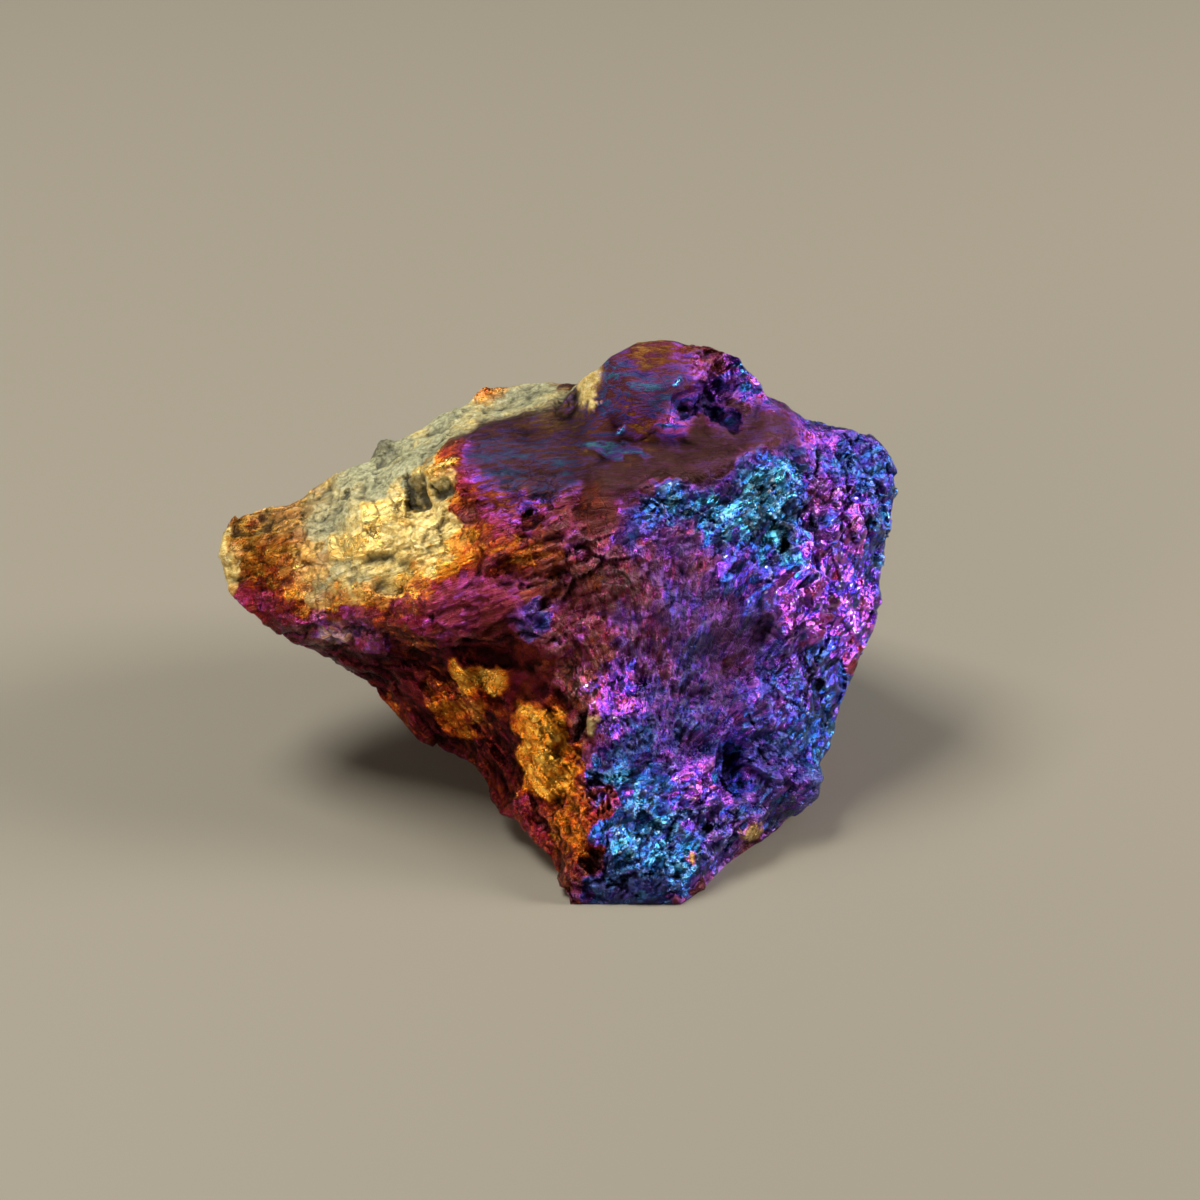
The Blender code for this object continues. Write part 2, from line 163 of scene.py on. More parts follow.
FRONT = [
    ((-3.4, 9.4, 13.4), 1.2, 0.36, 0.1, 1.0, 0.1, 0.0),
    ((-0.9, 9.0, 12.7), 1.1, 0.50, 0.1, 1.0, 0.0, 0.0),
    ((-0.7, 7.4, 10.3), 0.7, 0.47, 0.2, 1.0, 0.0, 0.0),
    ((1.0, 8.2, 11.6), 0.9, 0.56, 0.7, 0.5, 0.0, 0.2),
    ((0.0, 13.5, 20.0), 2.2, 0.38, 0.8, 0.5, 0.0, 0.2),
    ((0.5, 11.0, 16.0), 2.2, 0.46, 0.8, 0.5, 0.0, 0.2),
    ((3.8, 12.5, 17.5), 2.6, 0.54, 0.85, 0.45, 0.0, 0.25),
    ((3.2, 9.4, 12.8), 2.6, 0.55, 0.8, 0.5, 0.0, 0.25),
    ((1.2, 15.3, 23.0), 1.6, 0.60, 0.4, 0.7, 0.0, 0.1),
    ((2.2, 16.5, 24.3), 1.1, 0.74, 0.25, 1.0, 0.0, 0.1),
    ((6.0, 16.3, 22.6), 1.4, 0.75, 0.35, 1.0, 0.0, 0.05),
    ((9.8, 19.2, 24.2), 1.7, 0.79, 0.30, 1.0, 0.0, 0.0),
    ((11.0, 17.6, 21.5), 1.6, 0.75, 0.25, 1.0, 0.0, 0.05),
    ((4.5, 14.2, 20.5), 1.8, 0.46, 0.8, 0.5, 0.0, 0.15),
    ((8.3, 15.0, 18.8), 1.6, 0.58, 0.2, 0.9, 0.0, 0.0),
    ((7.5, 12.4, 14.5), 2.6, 0.52, 0.9, 0.3, 0.0, 0.45),
    ((0.9, 6.9, 9.6), 1.3, 0.62, 0.6, 0.6, 0.0, 0.2),
    ((4.6, 7.4, 9.0), 2.0, 0.56, 0.5, 0.7, 0.0, 0.1),
]
SHOULDER = [
    ((13.4, 19.2, 21.3), 1.5, 0.53, 0.2, 0.6, 0.0, 0.5),
    ((15.6, 20.6, 19.8), 1.8, 0.51, 0.1, 0.9, 0.0, 0.2),
    ((14.4, 17.0, 16.0), 2.4, 0.51, 0.0, 1.0, 0.0, -0.5),
    ((17.0, 18.3, 14.6), 2.2, 0.51, 0.0, 1.0, 0.0, -0.6),
    ((17.4, 17.2, 12.3), 1.4, 0.53, 0.0, 1.0, 0.0, -0.1),
    ((17.5, 24.0, 22.5), 1.8, 0.66, 0.3, 0.5, 0.0, 0.15),
    ((19.0, 22.6, 18.5), 2.1, 0.67, 0.2, 0.8, 0.0, 0.1),
    ((18.8, 21.0, 15.5), 1.8, 0.62, 0.2, 0.7, 0.0, 0.1),
    ((17.5, 25.0, 24.3), 1.5, 0.60, 0.6, 0.3, 0.0, 0.1),
    ((13.6, 24.0, 25.0), 1.5, 0.56, 0.3, 0.5, 0.0, 0.2),
    ((12.8, 13.6, 11.5), 2.2, 0.58, 0.1, 0.8, 0.0, 0.5),
    ((10.0, 11.4, 10.8), 1.8, 0.58, 0.4, 0.7, 0.0, 0.1),
    ((15.9, 15.0, 9.2), 1.6, 0.64, 0.1, 0.8, 0.0, 0.2),
    ((14.2, 12.0, 7.2), 1.6, 0.67, 0.1, 0.8, 0.0, 0.2),
    ((16.8, 16.4, 10.2), 0.8, 0.30, 0.2, 0.5, 0.0, 0.0),
]
FOOT = [
    ((0.5, 4.6, 6.8), 1.5, 0.70, 0.0, 0.9, 0.0, 0.48),
    ((0.8, 2.6, 4.0), 1.6, 0.71, 0.1, 0.9, 0.0, 0.42),
    ((4.5, 4.8, 6.2), 1.2, 0.52, 0.1, 1.0, 0.0, 0.0),
    ((3.2, 2.4, 3.4), 1.2, 0.72, 0.3, 0.8, 0.0, 0.0),
    ((-2.5, 0.3, 0.8), 1.1, 0.66, 0.6, 0.2, 0.0, 0.6),
    ((0.5, 0.3, 0.8), 1.1, 0.66, 0.6, 0.2, 0.0, 0.6),
    ((6.5, 4.2, 3.2), 1.2, 0.60, 0.4, 0.8, 0.0, 0.2),
    ((11.0, 8.9, 5.9), 1.3, 0.64, 0.6, 0.4, 0.0, 0.15),
    ((13.0, 9.6, 4.4), 1.2, 0.66, 0.4, 0.5, 0.0, 0.3),
    ((11.2, 7.8, 3.6), 1.2, 0.60, 0.4, 0.8, 0.0, 0.2),
    ((7.6, 8.3, 6.6), 1.1, 0.61, 0.0, 0.2, 0.0, 0.5),
]
BACK = [
    ((3.5, 28.5, 29.0), 2.4, 0.45, 0.4, 0.3, 0.0, 0.1),
    ((9.0, 30.5, 24.0), 3.0, 0.60, 0.3, 0.6, 0.0, 0.1),
    ((16.0, 29.5, 18.0), 3.0, 0.68, 0.2, 0.7, 0.0, 0.1),
    ((8.0, 34.5, 16.5), 3.4, 0.54, 0.5, 0.5, 0.0, 0.1),
    ((1.0, 33.5, 23.0), 3.0, 0.40, 0.6, 0.2, 0.0, 0.1),
    ((-3.0, 36.5, 17.5), 3.4, 0.34, 0.4, 0.4, 0.0, 0.1),
    ((-9.0, 34.0, 20.0), 3.0, 0.16, 0.2, 0.4, 0.2, 0.0),
    ((-16.0, 31.0, 18.0), 3.2, 0.06, 0.3, 0.2, 0.7, 0.0),
    ((-23.0, 27.0, 16.0), 3.2, 0.16, 0.3, 0.2, 0.3, 0.1),
    ((-14.0, 31.0, 11.0), 3.2, 0.36, 0.5, 0.3, 0.0, 0.2),
    ((-22.0, 24.0, 10.5), 3.0, 0.44, 0.5, 0.3, 0.0, 0.3),
    ((-6.0, 32.0, 8.0), 3.6, 0.50, 0.6, 0.4, 0.0, 0.2),
    ((6.0, 32.0, 7.0), 3.4, 0.64, 0.4, 0.6, 0.0, 0.1),
    ((15.5, 26.5, 8.5), 3.2, 0.74, 0.2, 0.8, 0.0, 0.1),
    ((17.5, 21.0, 7.0), 2.2, 0.60, 0.4, 0.6, 0.0, 0.1),
    ((-14.0, 20.0, 3.0), 3.0, 0.36, 0.6, 0.2, 0.0, 0.4),
    ((1.0, 14.0, 0.0), 6.0, 0.40, 0.8, 0.0, 0.0, 0.2),
]
ZONES = WING + STEP + HUMP + LEFT_SLOPE + LEFT_FACE + FRONT + SHOULDER + FOOT + BACK
TRAITS = ("film", "dull", "glint", "bare", "shade")
FILM, DULL, GLINT, BARE, SHADE = range(len(TRAITS))

# ---------------------------------------------------------------- relief
# Each zone: place, spread, then how much it has of grain (fibres that fan up from the toe), blocks (square
# steps), leaves (thin plates in layers), crumb (small lumps), calm (smoothness), columns (upright ribs) and
# foil (broad glossy plates that run down to the toe).
RELIEF_ZONES = [
    ((-29.0, 20.0, 17.0), 3.0, 0.0, 0.2, 0.7, 0.2, 0.2, 0.0, 0.0),
    ((-24.0, 20.0, 19.0), 3.0, 0.0, 0.6, 0.4, 0.1, 0.4, 0.0, 0.0),
    ((-19.5, 19.5, 20.8), 3.0, 0.0, 0.9, 0.1, 0.1, 0.4, 0.0, 0.0),
    ((-14.5, 18.5, 22.2), 2.5, 0.0, 0.7, 0.3, 0.3, 0.1, 0.0, 0.0),
    ((-18.5, 15.5, 18.2), 2.5, 0.0, 0.1, 0.8, 0.4, 0.0, 0.0, 0.0),
    ((-17.0, 25.5, 22.5), 3.0, 0.0, 0.8, 0.2, 0.3, 0.3, 0.0, 0.0),
    ((-8.0, 30.0, 24.5), 5.0, 0.0, 0.6, 0.2, 0.3, 0.3, 0.0, 0.0),
    ((-9.0, 21.5, 25.8), 3.0, 0.0, 0.0, 0.4, 0.1, 0.7, 0.0, 0.0),
    ((0.0, 19.5, 26.0), 4.0, 0.0, 0.0, 0.2, 0.0, 1.0, 0.0, 0.0),
    ((7.0, 21.5, 26.5), 4.0, 0.0, 0.0, 0.2, 0.0, 1.0, 0.0, 0.0),
    ((0.5, 23.0, 29.5), 3.0, 0.0, 0.0, 0.3, 0.0, 0.9, 0.0, 0.0),
    ((7.5, 25.0, 30.0), 2.5, 0.0, 0.6, 0.5, 0.5, 0.0, 0.2, 0.0),
    ((-8.0, 15.5, 22.3), 3.0, 0.0, 0.1, 1.0, 0.2, 0.1, 0.0, 0.1),
    ((-13.0, 13.5, 18.3), 3.0, 0.0, 0.0, 1.0, 0.1, 0.2, 0.0, 0.0),
    ((-8.0, 12.8, 18.8), 3.0, 0.2, 0.0, 0.9, 0.3, 0.1, 0.0, 0.0),
    ((-3.5, 12.5, 19.5), 3.0, 0.6, 0.1, 0.6, 0.5, 0.0, 0.0, 0.0),
    ((-24.0, 15.5, 14.0), 2.5, 0.0, 0.1, 0.9, 0.4, 0.0, 0.0, 0.0),
    ((-20.0, 15.5, 10.5), 4.0, 0.0, 0.0, 0.2, 0.0, 0.3, 0.0, 0.9),
    ((-14.0, 13.0, 8.5), 4.0, 0.0, 0.0, 0.1, 0.1, 0.2, 0.0, 1.0),
    ((-9.0, 11.0, 13.5), 2.0, 0.0, 0.1, 0.3, 0.0, 0.8, 0.0, 0.2),
    ((-7.5, 8.5, 8.0), 4.0, 0.0, 0.1, 0.1, 0.15, 0.1, 0.0, 1.0),
    ((-6.0, 4.0, 3.0), 3.0, 0.2, 0.2, 0.3, 0.3, 0.0, 0.0, 0.8),
    ((2.5, 12.0, 17.0), 5.0, 1.0, 0.0, 0.2, 0.4, 0.1, 0.0, 0.0),
    ((1.0, 8.5, 11.5), 3.0, 1.0, 0.1, 0.2, 0.6, 0.0, 0.0, 0.0),
    ((6.5, 12.5, 14.5), 3.0, 0.9, 0.0, 0.2, 0.2, 0.4, 0.0, 0.0),
    ((3.0, 16.0, 23.5), 2.0, 0.3, 0.6, 0.4, 0.7, 0.0, 0.0, 0.0),
    ((9.5, 18.5, 23.5), 3.0, 0.2, 0.9, 0.3, 0.7, 0.0, 0.2, 0.0),
    ((14.5, 18.0, 17.0), 4.0, 0.3, 0.2, 0.2, 0.9, 0.0, 0.7, 0.0),
    ((19.0, 22.5, 18.5), 4.0, 0.0, 0.2, 0.2, 0.7, 0.0, 1.0, 0.0),
    ((14.0, 13.0, 9.5), 4.0, 0.2, 0.2, 0.3, 0.8, 0.0, 0.6, 0.0),
    ((1.5, 3.5, 5.0), 3.0, 0.2, 1.0, 0.3, 0.7, 0.0, 0.0, 0.0),
    ((11.0, 8.5, 4.5), 3.0, 0.3, 0.7, 0.6, 0.4, 0.1, 0.0, 0.0),
    ((5.0, 33.0, 20.0), 8.0, 0.1, 0.5, 0.6, 0.5, 0.1, 0.0, 0.2),
    ((-15.0, 31.0, 15.0), 8.0, 0.0, 0.6, 0.5, 0.3, 0.1, 0.0, 0.4),
    ((0.0, 32.0, 8.0), 8.0, 0.2, 0.5, 0.5, 0.5, 0.1, 0.0, 0.4),
]
RELIEF_TRAITS = ("grain", "blocks", "leaves", "crumb", "calm", "columns", "foil")
# Each zone: place, spread, how far the film runs in bands (most on the hump's flat side), and how far the
# grain breaks in small slanting steps.
BAND_ZONES = [
    ((0.0, 22.8, 29.0), 3.2, 1.0, 0.0),
    ((1.5, 24.5, 32.0), 1.5, 0.6, 0.0),
    ((5.0, 23.5, 28.0), 2.0, 0.2, 0.0),
    ((-8.0, 20.3, 25.6), 3.0, 0.95, 0.0),
    ((4.0, 20.5, 26.3), 4.0, 0.30, 0.0),
    ((11.0, 22.0, 26.5), 3.0, 0.25, 0.0),
    ((-2.0, 12.0, 19.0), 6.0, 0.0, 0.0),
    ((-15.0, 20.0, 22.0), 6.0, 0.0, 0.0),
    ((3.0, 16.5, 24.0), 2.0, 0.0, 0.8),
    ((9.5, 18.6, 23.4), 3.0, 0.0, 1.0),
    ((10.0, 13.0, 15.0), 6.0, 0.0, 0.0),
    ((18.0, 20.0, 18.0), 6.0, 0.0, 0.0),
    ((5.0, 33.0, 20.0), 8.0, 0.1, 0.1),
]
BAND_TRAITS = ("bands", "steps")
FALL_OFF = 1.2  # how fast a zone's weight falls with distance
FAR_WEIGHT = 1e-7  # what is left of it far off, so that the nearest zones still rule there

# The ways that leaves, foil and steps run.
ALONG_SLOPE = (1.0, 0.1, 0.35)
ALONG_FACE = (0.65, -0.45, -0.6)
ALONG_STEPS = (0.82, 0.33, 0.47)
ACROSS_STEPS = (-0.57, 0.47, 0.67)
FAN = np.array((0.5, 7.0, 3.0))  # where the fibres of the front meet, under the toe's skin
FAN_REACH = 16.0  # mm from there, where the fibres are as wide as they are said to be
FAN_RUN = np.array([[0.31, 0.47, 0.83]])  # the way through the noise that stands for the run of a fibre

# Marks on the front are placed as they look from in front and above: to the right of the toe, and up.
# Plates: middle, half length, half width, lean (degrees up to the right), rise, squareness (2 for a leaf, 8
# for a block), then their own film, dull, glint, bare and shade (painted shade).
PLATES = [
    ((-11.6, 21.8), 3.4, 2.0, 6, 0.35, 1.7, 0.37, 0.45, 0.0, 0.0, 0.05),
    ((-1.1, 33.0), 3.0, 0.7, -8, 0.18, 1.4, 0.70, 0.85, 0.0, 0.0, 0.40),
    ((-7.2, 28.6), 1.3, 0.5, 10, 0.35, 3, 0.42, 0.2, 0.2, 0.0, 0.0),
    ((-7.3, 27.6), 1.2, 0.6, 12, -0.35, 2, 0.34, 0.2, 0.1, 0.0, 0.45),
    ((-18.1, 28.4), 1.9, 1.2, 8, 0.22, 6, 0.035, 0.0, 0.0, 0.3, 0.15),
    ((-20.2, 26.1), 2.4, 1.1, 8, 0.22, 6, 0.02, 0.0, 0.0, 0.3, 0.1),
    ((-14.4, 31.7), 1.7, 0.5, 15, 0.40, 8, 0.04, 0.0, 0.0, 0.1, 0.0),
    ((-15.7, 30.1), 0.9, 1.4, 10, -0.60, 8, 0.05, 0.2, 0.0, 1.0, 0.8),
    ((-13.8, 30.3), 0.9, 0.8, 15, -0.40, 8, 0.05, 0.2, 0.0, 1.0, 0.6),
    ((-6.7, 12.9), 2.1, 1.3, -16, 0.35, 8, 0.11, 0.0, 0.0, 0.0, -0.1),
    ((-6.4, 9.6), 2.6, 1.3, -52, 0.35, 8, 0.11, 0.0, 0.0, 0.0, -0.1),
    ((-11.8, 15.8), 2.6, 0.7, -50, 0.35, 8, 0.10, 0.0, 0.0, 0.0, 0.0),
    ((-13.1, 12.9), 2.3, 0.8, -48, 0.25, 8, 0.18, 0.0, 0.0, 0.0, 0.2),
    ((-7.0, 5.6), 2.3, 0.7, -58, 0.25, 8, 0.32, 0.0, 0.1, 0.0, 0.3),
    ((-4.2, 4.9), 1.8, 0.8, -55, 0.25, 8, 0.18, 0.0, 0.0, 0.0, 0.3),
    ((-9.6, 10.6), 2.9, 0.5, -55, -0.30, 8, 0.30, 0.0, 0.0, 0.0, 0.6),
    ((-9.9, 14.0), 2.2, 0.6, -35, 0.20, 8, 0.25, 0.0, 0.0, 0.0, 0.35),
    ((10.9, 9.9), 3.0, 1.1, -28, 0.45, 3, 0.59, 0.45, 0.4, 0.0, 0.2),
    ((7.6, 9.6), 2.2, 0.7, -78, -0.50, 3, 0.62, 0.0, 0.1, 0.0, 0.3),
    ((4.3, 3.3), 0.55, 0.35, 60, 0.20, 6, 0.05, 0.0, 0.3, 0.4, 0.0),
    ((9.0, 5.0), 0.85, 0.65, 30, 0.25, 5, 0.06, 0.2, 0.3, 0.4, 0.35),
    ((-2.6, 12.9), 0.75, 0.42, 80, 0.35, 4, 0.05, 0.3, 0.3, 0.7, 0.2),
    ((-3.2, 38.3), 0.9, 0.45, 70, 0.25, 8, 0.04, 0.0, 0.1, 0.8, 0.0),
    ((-3.0, 37.2), 0.8, 0.55, 35, 0.15, 8, 0.04, 0.0, 0.1, 0.9, 0.0),
    ((-2.7, 36.3), 0.6, 0.35, 75, 0.30, 8, 0.04, 0.0, 0.1, 0.7, 0.0),
    ((-0.6, 34.7), 0.5, 0.2, 50, 0.10, 2, 0.78, 0.0, 0.6, 0.0, 0.0),
    ((3.3, 37.8), 0.65, 0.28, 55, 0.20, 4, 0.82, 0.0, 0.7, 0.0, 0.0),
    ((-1.8, 8.1), 0.4, 0.25, 20, 0.10, 3, 0.25, 0.0, 0.4, 0.0, 0.0),
    ((-9.4, 17.9), 3.1, 1.1, -4, -0.30, 3, 0.30, 0.2, 0.0, 0.0, 0.55),
    ((-16.4, 17.3), 0.8, 0.4, -20, -0.70, 2, 0.31, 0.2, 0.0, 0.0, 1.0),
    ((4.6, 36.6), 1.7, 1.0, 35, -0.45, 4, 0.56, 0.0, 0.1, 0.0, 0.8),
    ((6.6, 35.7), 2.0, 0.75, -22, -0.40, 4, 0.57, 0.0, 0.1, 0.0, 0.85),
]
PLATE_SHAPE = 6  # how many of a plate's values come before its traits
PLATE_RISE = 4  # the place of the rise among them
PLATE_RIM = 0.20  # mm, the width of the slope round a plate
# Where the broad shape is rounded off before the relief goes on: middle, radius, rounds.
SOFTENED = [
    ((5.8, 23.6, 28.0), 3.6, 60),
    ((-4.0, 21.5, 26.6), 2.6, 40),
    ((-0.9, 8.0, 11.2), 2.8, 40),
    ((1.6, 7.4, 10.8), 2.2, 30),
]
# Cracks and shadowed grooves: the points they run through, their half width and their depth.
CRACKS = [
    ([(-2.9, 13.9), (-3.6, 12.8), (-4.2, 11.7)], 0.24, 0.90),
    ([(-4.2, 11.7), (-3.1, 10.3), (-1.7, 7.3), (-1.7, 3.7), (-2.2, 1.6)], 0.13, 0.35),
    ([(-3.7, 8.6), (-2.2, 8.4), (-0.7, 8.6)], 0.24, 0.60),
    ([(-15.1, 22.1), (-14.7, 21.5), (-14.4, 20.9)], 0.18, 0.60),
    ([(-14.0, 19.3), (-11.0, 18.9), (-8.3, 19.3), (-5.1, 19.1)], 0.18, 0.45),
    ([(-24.3, 19.6), (-20.0, 20.0), (-17.0, 19.6), (-15.1, 19.1), (-11.8, 18.4)], 0.24, 0.40),
    ([(0.7, 33.8), (2.6, 34.9), (3.1, 35.9)], 0.10, 0.18),
    ([(4.0, 36.1), (5.6, 36.2), (7.2, 35.6)], 0.20, 0.40),
    ([(-14.2, 17.3), (-11.9, 14.4), (-9.6, 11.6), (-7.6, 8.0), (-6.0, 5.4)], 0.15, 0.40),
    ([(-10.0, 14.8), (-8.0, 14.2), (-5.0, 14.0)], 0.12, 0.25),
    ([(-8.8, 10.9), (-6.6, 10.8), (-4.6, 10.2)], 0.12, 0.30),
    ([(-1.8, 8.1), (0.7, 7.4), (2.6, 8.1)], 0.12, 0.30),
    ([(2.6, 5.1), (4.4, 7.2), (6.6, 8.1)], 0.14, 0.35),
    ([(-4.5, 1.7), (-1.8, 1.8), (0.7, 2.1), (3.8, 1.9)], 0.14, 0.30),
    ([(2.6, 5.1), (2.9, 3.4), (3.6, 2.1)], 0.12, 0.30),
    ([(-16.4, 25.8), (-14.6, 26.7), (-12.6, 28.5)], 0.10, 0.14),
    ([(-16.2, 27.6), (-14.2, 28.6), (-12.6, 30.4)], 0.10, 0.14),
    ([(-6.4, 24.3), (-4.2, 25.6), (-2.2, 26.4)], 0.14, 0.30),
    ([(-8.0, 22.9), (-5.6, 23.4), (-3.6, 22.8)], 0.14, 0.30),
    ([(14.3, 33.4), (13.8, 31.2), (13.6, 29.4)], 0.20, 0.40),
    ([(16.1, 33.0), (16.2, 30.0), (15.8, 27.4), (15.8, 24.4)], 0.18, 0.40),
    ([(17.6, 31.6), (17.9, 28.6), (17.6, 25.8)], 0.15, 0.30),
    ([(12.9, 29.0), (11.4, 26.4), (10.4, 24.2)], 0.16, 0.35),
    ([(14.9, 19.6), (13.6, 17.0), (13.0, 14.4)], 0.15, 0.30),
    ([(8.6, 14.2), (9.0, 11.8), (10.2, 10.0)], 0.16, 0.35),
]
CRACK_SCALE = 0.8  # how much of that width and depth is used
# Gentle swells: middle (from the toe, in space), how far they spread, how far they stand out.
SWELLS = [
    ((13.4, 9.4, 3.8), 2.0, 0.8),
]
# Broken plates read the noise at their own middles, this far apart, for how they lean, stand and shift.
LEAN_STRIDE = 5.1
LEVEL_STRIDE = 9.3
SHIFT_STRIDE = 7.7
SEAM = 0.12  # the width of the seam between two plates, as a share of their size
NEAR_HOLLOW, FAR_HOLLOW = 0.06, 0.16  # mm, how deep a small and a wide hollow are where their painted shade is darkest
SHARP_EDGE = 0.05  # mm, how far an edge stands out that gets the full painted highlight

# ---------------------------------------------------------------- the fine mesh
FRONT_EDGE = 0.28  # mm, the longest edge on the side that faces forward and up
BACK_EDGE = 0.60  # mm, the longest edge elsewhere
PLAIN_EDGE = 50.0  # mm, the same on the resting face, which stays uncut
FORWARD_AND_UP = Vector((0.0, -COS_35, SIN_35))
TURNED_AWAY = -0.12  # faces that lean further from forward-and-up than this are cut less
MOST_CUTS = 8  # rounds of cutting, at most
WELD = 0.001  # mm, corners nearer than this become one
LEVEL = 0.01  # mm, below which a corner is on the resting face
HELD_BELOW = 0.02  # mm, below which a corner stays where it is
APART = [Vector((9.3, -1.5, -7.9)), Vector((-31.4, 22.7, 5.6)), Vector((13.8, 47.1, -26.2))]


def from_toe(data):
    """The mesh's corners in millimetres from the toe."""
    co = np.empty(len(data.vertices) * 3)
    data.vertices.foreach_get("co", co)
    return co.reshape(-1, 3) / MM - TOE


def edges_of(data):
    """The two corners of each edge."""
    pairs = np.empty(len(data.edges) * 2, dtype=np.int64)
    data.edges.foreach_get("vertices", pairs)
    return pairs.reshape(-1, 2)


def faces_of(data):
    """The three corners of each face."""
    corners = np.empty(len(data.polygons) * 3, dtype=np.int64)
    data.polygons.foreach_get("vertices", corners)
    return corners.reshape(-1, 3)


def longest(edge):
    """How long an edge may stay, in millimetres."""
    if all(v.co.z < LEVEL for face in edge.link_faces for v in face.verts):
        return PLAIN_EDGE
    facing = max(face.normal.dot(FORWARD_AND_UP) for face in edge.link_faces)
    return FRONT_EDGE if facing > TURNED_AWAY else BACK_EDGE


def fine_copy(node):
    """A copy of the lump's solid, welded and cut into small triangles, its resting face left plain."""
    mesh = bmesh.new()
    mesh.from_mesh(node.data)
    bmesh.ops.scale(mesh, verts=mesh.verts, vec=(1 / MM, 1 / MM, 1 / MM))  # cut in millimetres
    bmesh.ops.remove_doubles(mesh, verts=mesh.verts, dist=WELD)
    for _ in range(MOST_CUTS):
        mesh.normal_update()
        long_edges = [edge for edge in mesh.edges if edge.calc_length() > longest(edge)]
        if not long_edges:
            break
        bmesh.ops.subdivide_edges(mesh, edges=long_edges, cuts=1)
        bmesh.ops.triangulate(mesh, faces=[face for face in mesh.faces if len(face.verts) > 3])
    bmesh.ops.scale(mesh, verts=mesh.verts, vec=(MM, MM, MM))
    data = bpy.data.meshes.new("peacock ore")
    mesh.to_mesh(data)
    mesh.free()
    return data


def smoothed(values, pairs, rounds, hold):
    """Averages values over neighbouring corners, a number of times, except where held."""
    count = np.bincount(pairs.ravel(), minlength=len(values))[:, None]
    for _ in range(rounds):
        total = np.zeros_like(values)
        np.add.at(total, pairs[:, 0], values[pairs[:, 1]])
        np.add.at(total, pairs[:, 1], values[pairs[:, 0]])
        values = np.where(hold[:, None], values, 0.5 * values + 0.5 * total / count)
    return values


def corner_normals(data, places):
    """Unit normals at the corners, for corners moved to the given places."""
    faces = faces_of(data)
    a, b, c = (places[faces[:, k]] for k in range(3))
    face_normals = np.cross(b - a, c - a)
    normals = np.zeros_like(places)
    for k in range(3):
        np.add.at(normals, faces[:, k], face_normals)
    return normals / np.maximum(np.linalg.norm(normals, axis=1), 1e-12)[:, None]


def blend_zones(points, zones, names):
    """Each trait at each point: the average of the zones, the nearer and smaller ones counting most."""
    total = np.full(len(points), 1e-9)
    sums = np.zeros((len(points), len(names)))
    for zone in zones:
        place, spread, traits = zone[0], zone[1], np.array(zone[2:])
        away = np.linalg.norm(points - np.array(place), axis=1) / spread
        weight = np.exp(-FALL_OFF * away * away) / spread ** 2 + FAR_WEIGHT / (1.0 + away ** 4)
        total += weight
        sums += weight[:, None] * traits
    return sums / total[:, None]


# ---------------------------------------------------------------- noise
def noise_shift(seed):
    """Where in the smooth noise a seed begins."""
    return Vector((seed, 1.7 * seed, -2.3 * seed))


def cell_shift(seed):
    """Where among the noise's cells a seed begins."""
    return Vector((seed, -seed, 2.0 * seed))


def noise_at(points, size, seed, octaves=3):
    """Smooth noise from about -1 to 1, one value a point."""
    shift = noise_shift(seed)
    scale = 1.0 / size
    return np.array([noise.fractal(Vector(p) * scale + shift, 1.0, 2.0, octaves) for p in points])


def ridges_at(points, seed):
    """Sharp-crested noise from about -0.5 to 0.5."""
    return 0.5 - 2.2 * np.abs(noise_at(points, 1.0, seed, 2))


def noise_vector(place):
    """A smooth random vector, from the same noise read at three places far apart."""
    return Vector([noise.noise(place + shift) for shift in APART])


def noise_vectors(points, size, seed=0.0):
    """A smooth random vector for each point."""
    shift = noise_shift(seed)
    return np.array([noise_vector(Vector(p) / size + shift) for p in points])


def flakes(points, tilt, step, seed, size=1.0, metric="DISTANCE", seam_depth=0.3):
    """Broken plates: each leans its own way and stands at its own level, with a seam round it."""
    shift = cell_shift(seed)
    heights = np.empty(len(points))
    for i, p in enumerate(points):
        q = Vector(p) / size + shift
        reach, centres = noise.voronoi(q, distance_metric=metric)
        centre = centres[0]
        lean = noise_vector(centre * LEAN_STRIDE)
        seam = max(0.0, 1.0 - (reach[1] - reach[0]) / SEAM)
        level = noise.noise(centre * LEVEL_STRIDE) * step
        heights[i] = (q - centre).dot(lean) * tilt + level - seam_depth * (tilt + step) * seam
    return heights * size


def plate_places(points, size, seed, shake=1.3):
    """For each point, the middle of the plate it lies on, shaken a little."""
    shift = cell_shift(seed)
    middles = np.empty_like(points)
    for i, p in enumerate(points):
        centre = noise.voronoi(Vector(p) / size + shift)[1][0]
        middles[i] = (centre - shift + noise_vector(centre * SHIFT_STRIDE) * shake) * size
    return middles


def fanned(points, across, along):
    """Places measured along and across the fibres of the front, so that noise over them is drawn out."""
    out = points - FAN
    reach = np.linalg.norm(out, axis=1)[:, None]
    return out / reach * (FAN_REACH / across) + reach * FAN_RUN / along


def drawn_out(points, along, length, width):
    """Places measured so that a cell is the given length along one way, and the given width across it."""
    along = np.array(along) / np.linalg.norm(along)
    run = (points @ along)[:, None]
    return (points - run * along) / width + run * along / length


# ---------------------------------------------------------------- marks
def face_on(places):
    """The places as they look from in front and above: to the right of the toe, and up."""
    return np.stack((places[:, 0], SIN_35 * places[:, 1] + COS_35 * places[:, 2]), axis=1)


def marks_frame(data, places):
    """The places seen face-on, a little unsteady, and how far each faces that way (0 to 1)."""
    facing = np.clip(corner_normals(data, places) @ np.array(FORWARD_AND_UP) * 4.0 + 0.4, 0.0, 1.0)
    wobble = 0.30 * noise_vectors(places, 1.6, 3.0) + 0.10 * noise_vectors(places, 0.6, 5.0)
    broken = plate_places(drawn_out(places, ALONG_FACE, length=1.8, width=0.9), 1.0, 8.0, shake=0.0)
    jag = 0.5 * noise_vectors(broken, 0.37, 9.0)
    return face_on(places + wobble + jag), facing


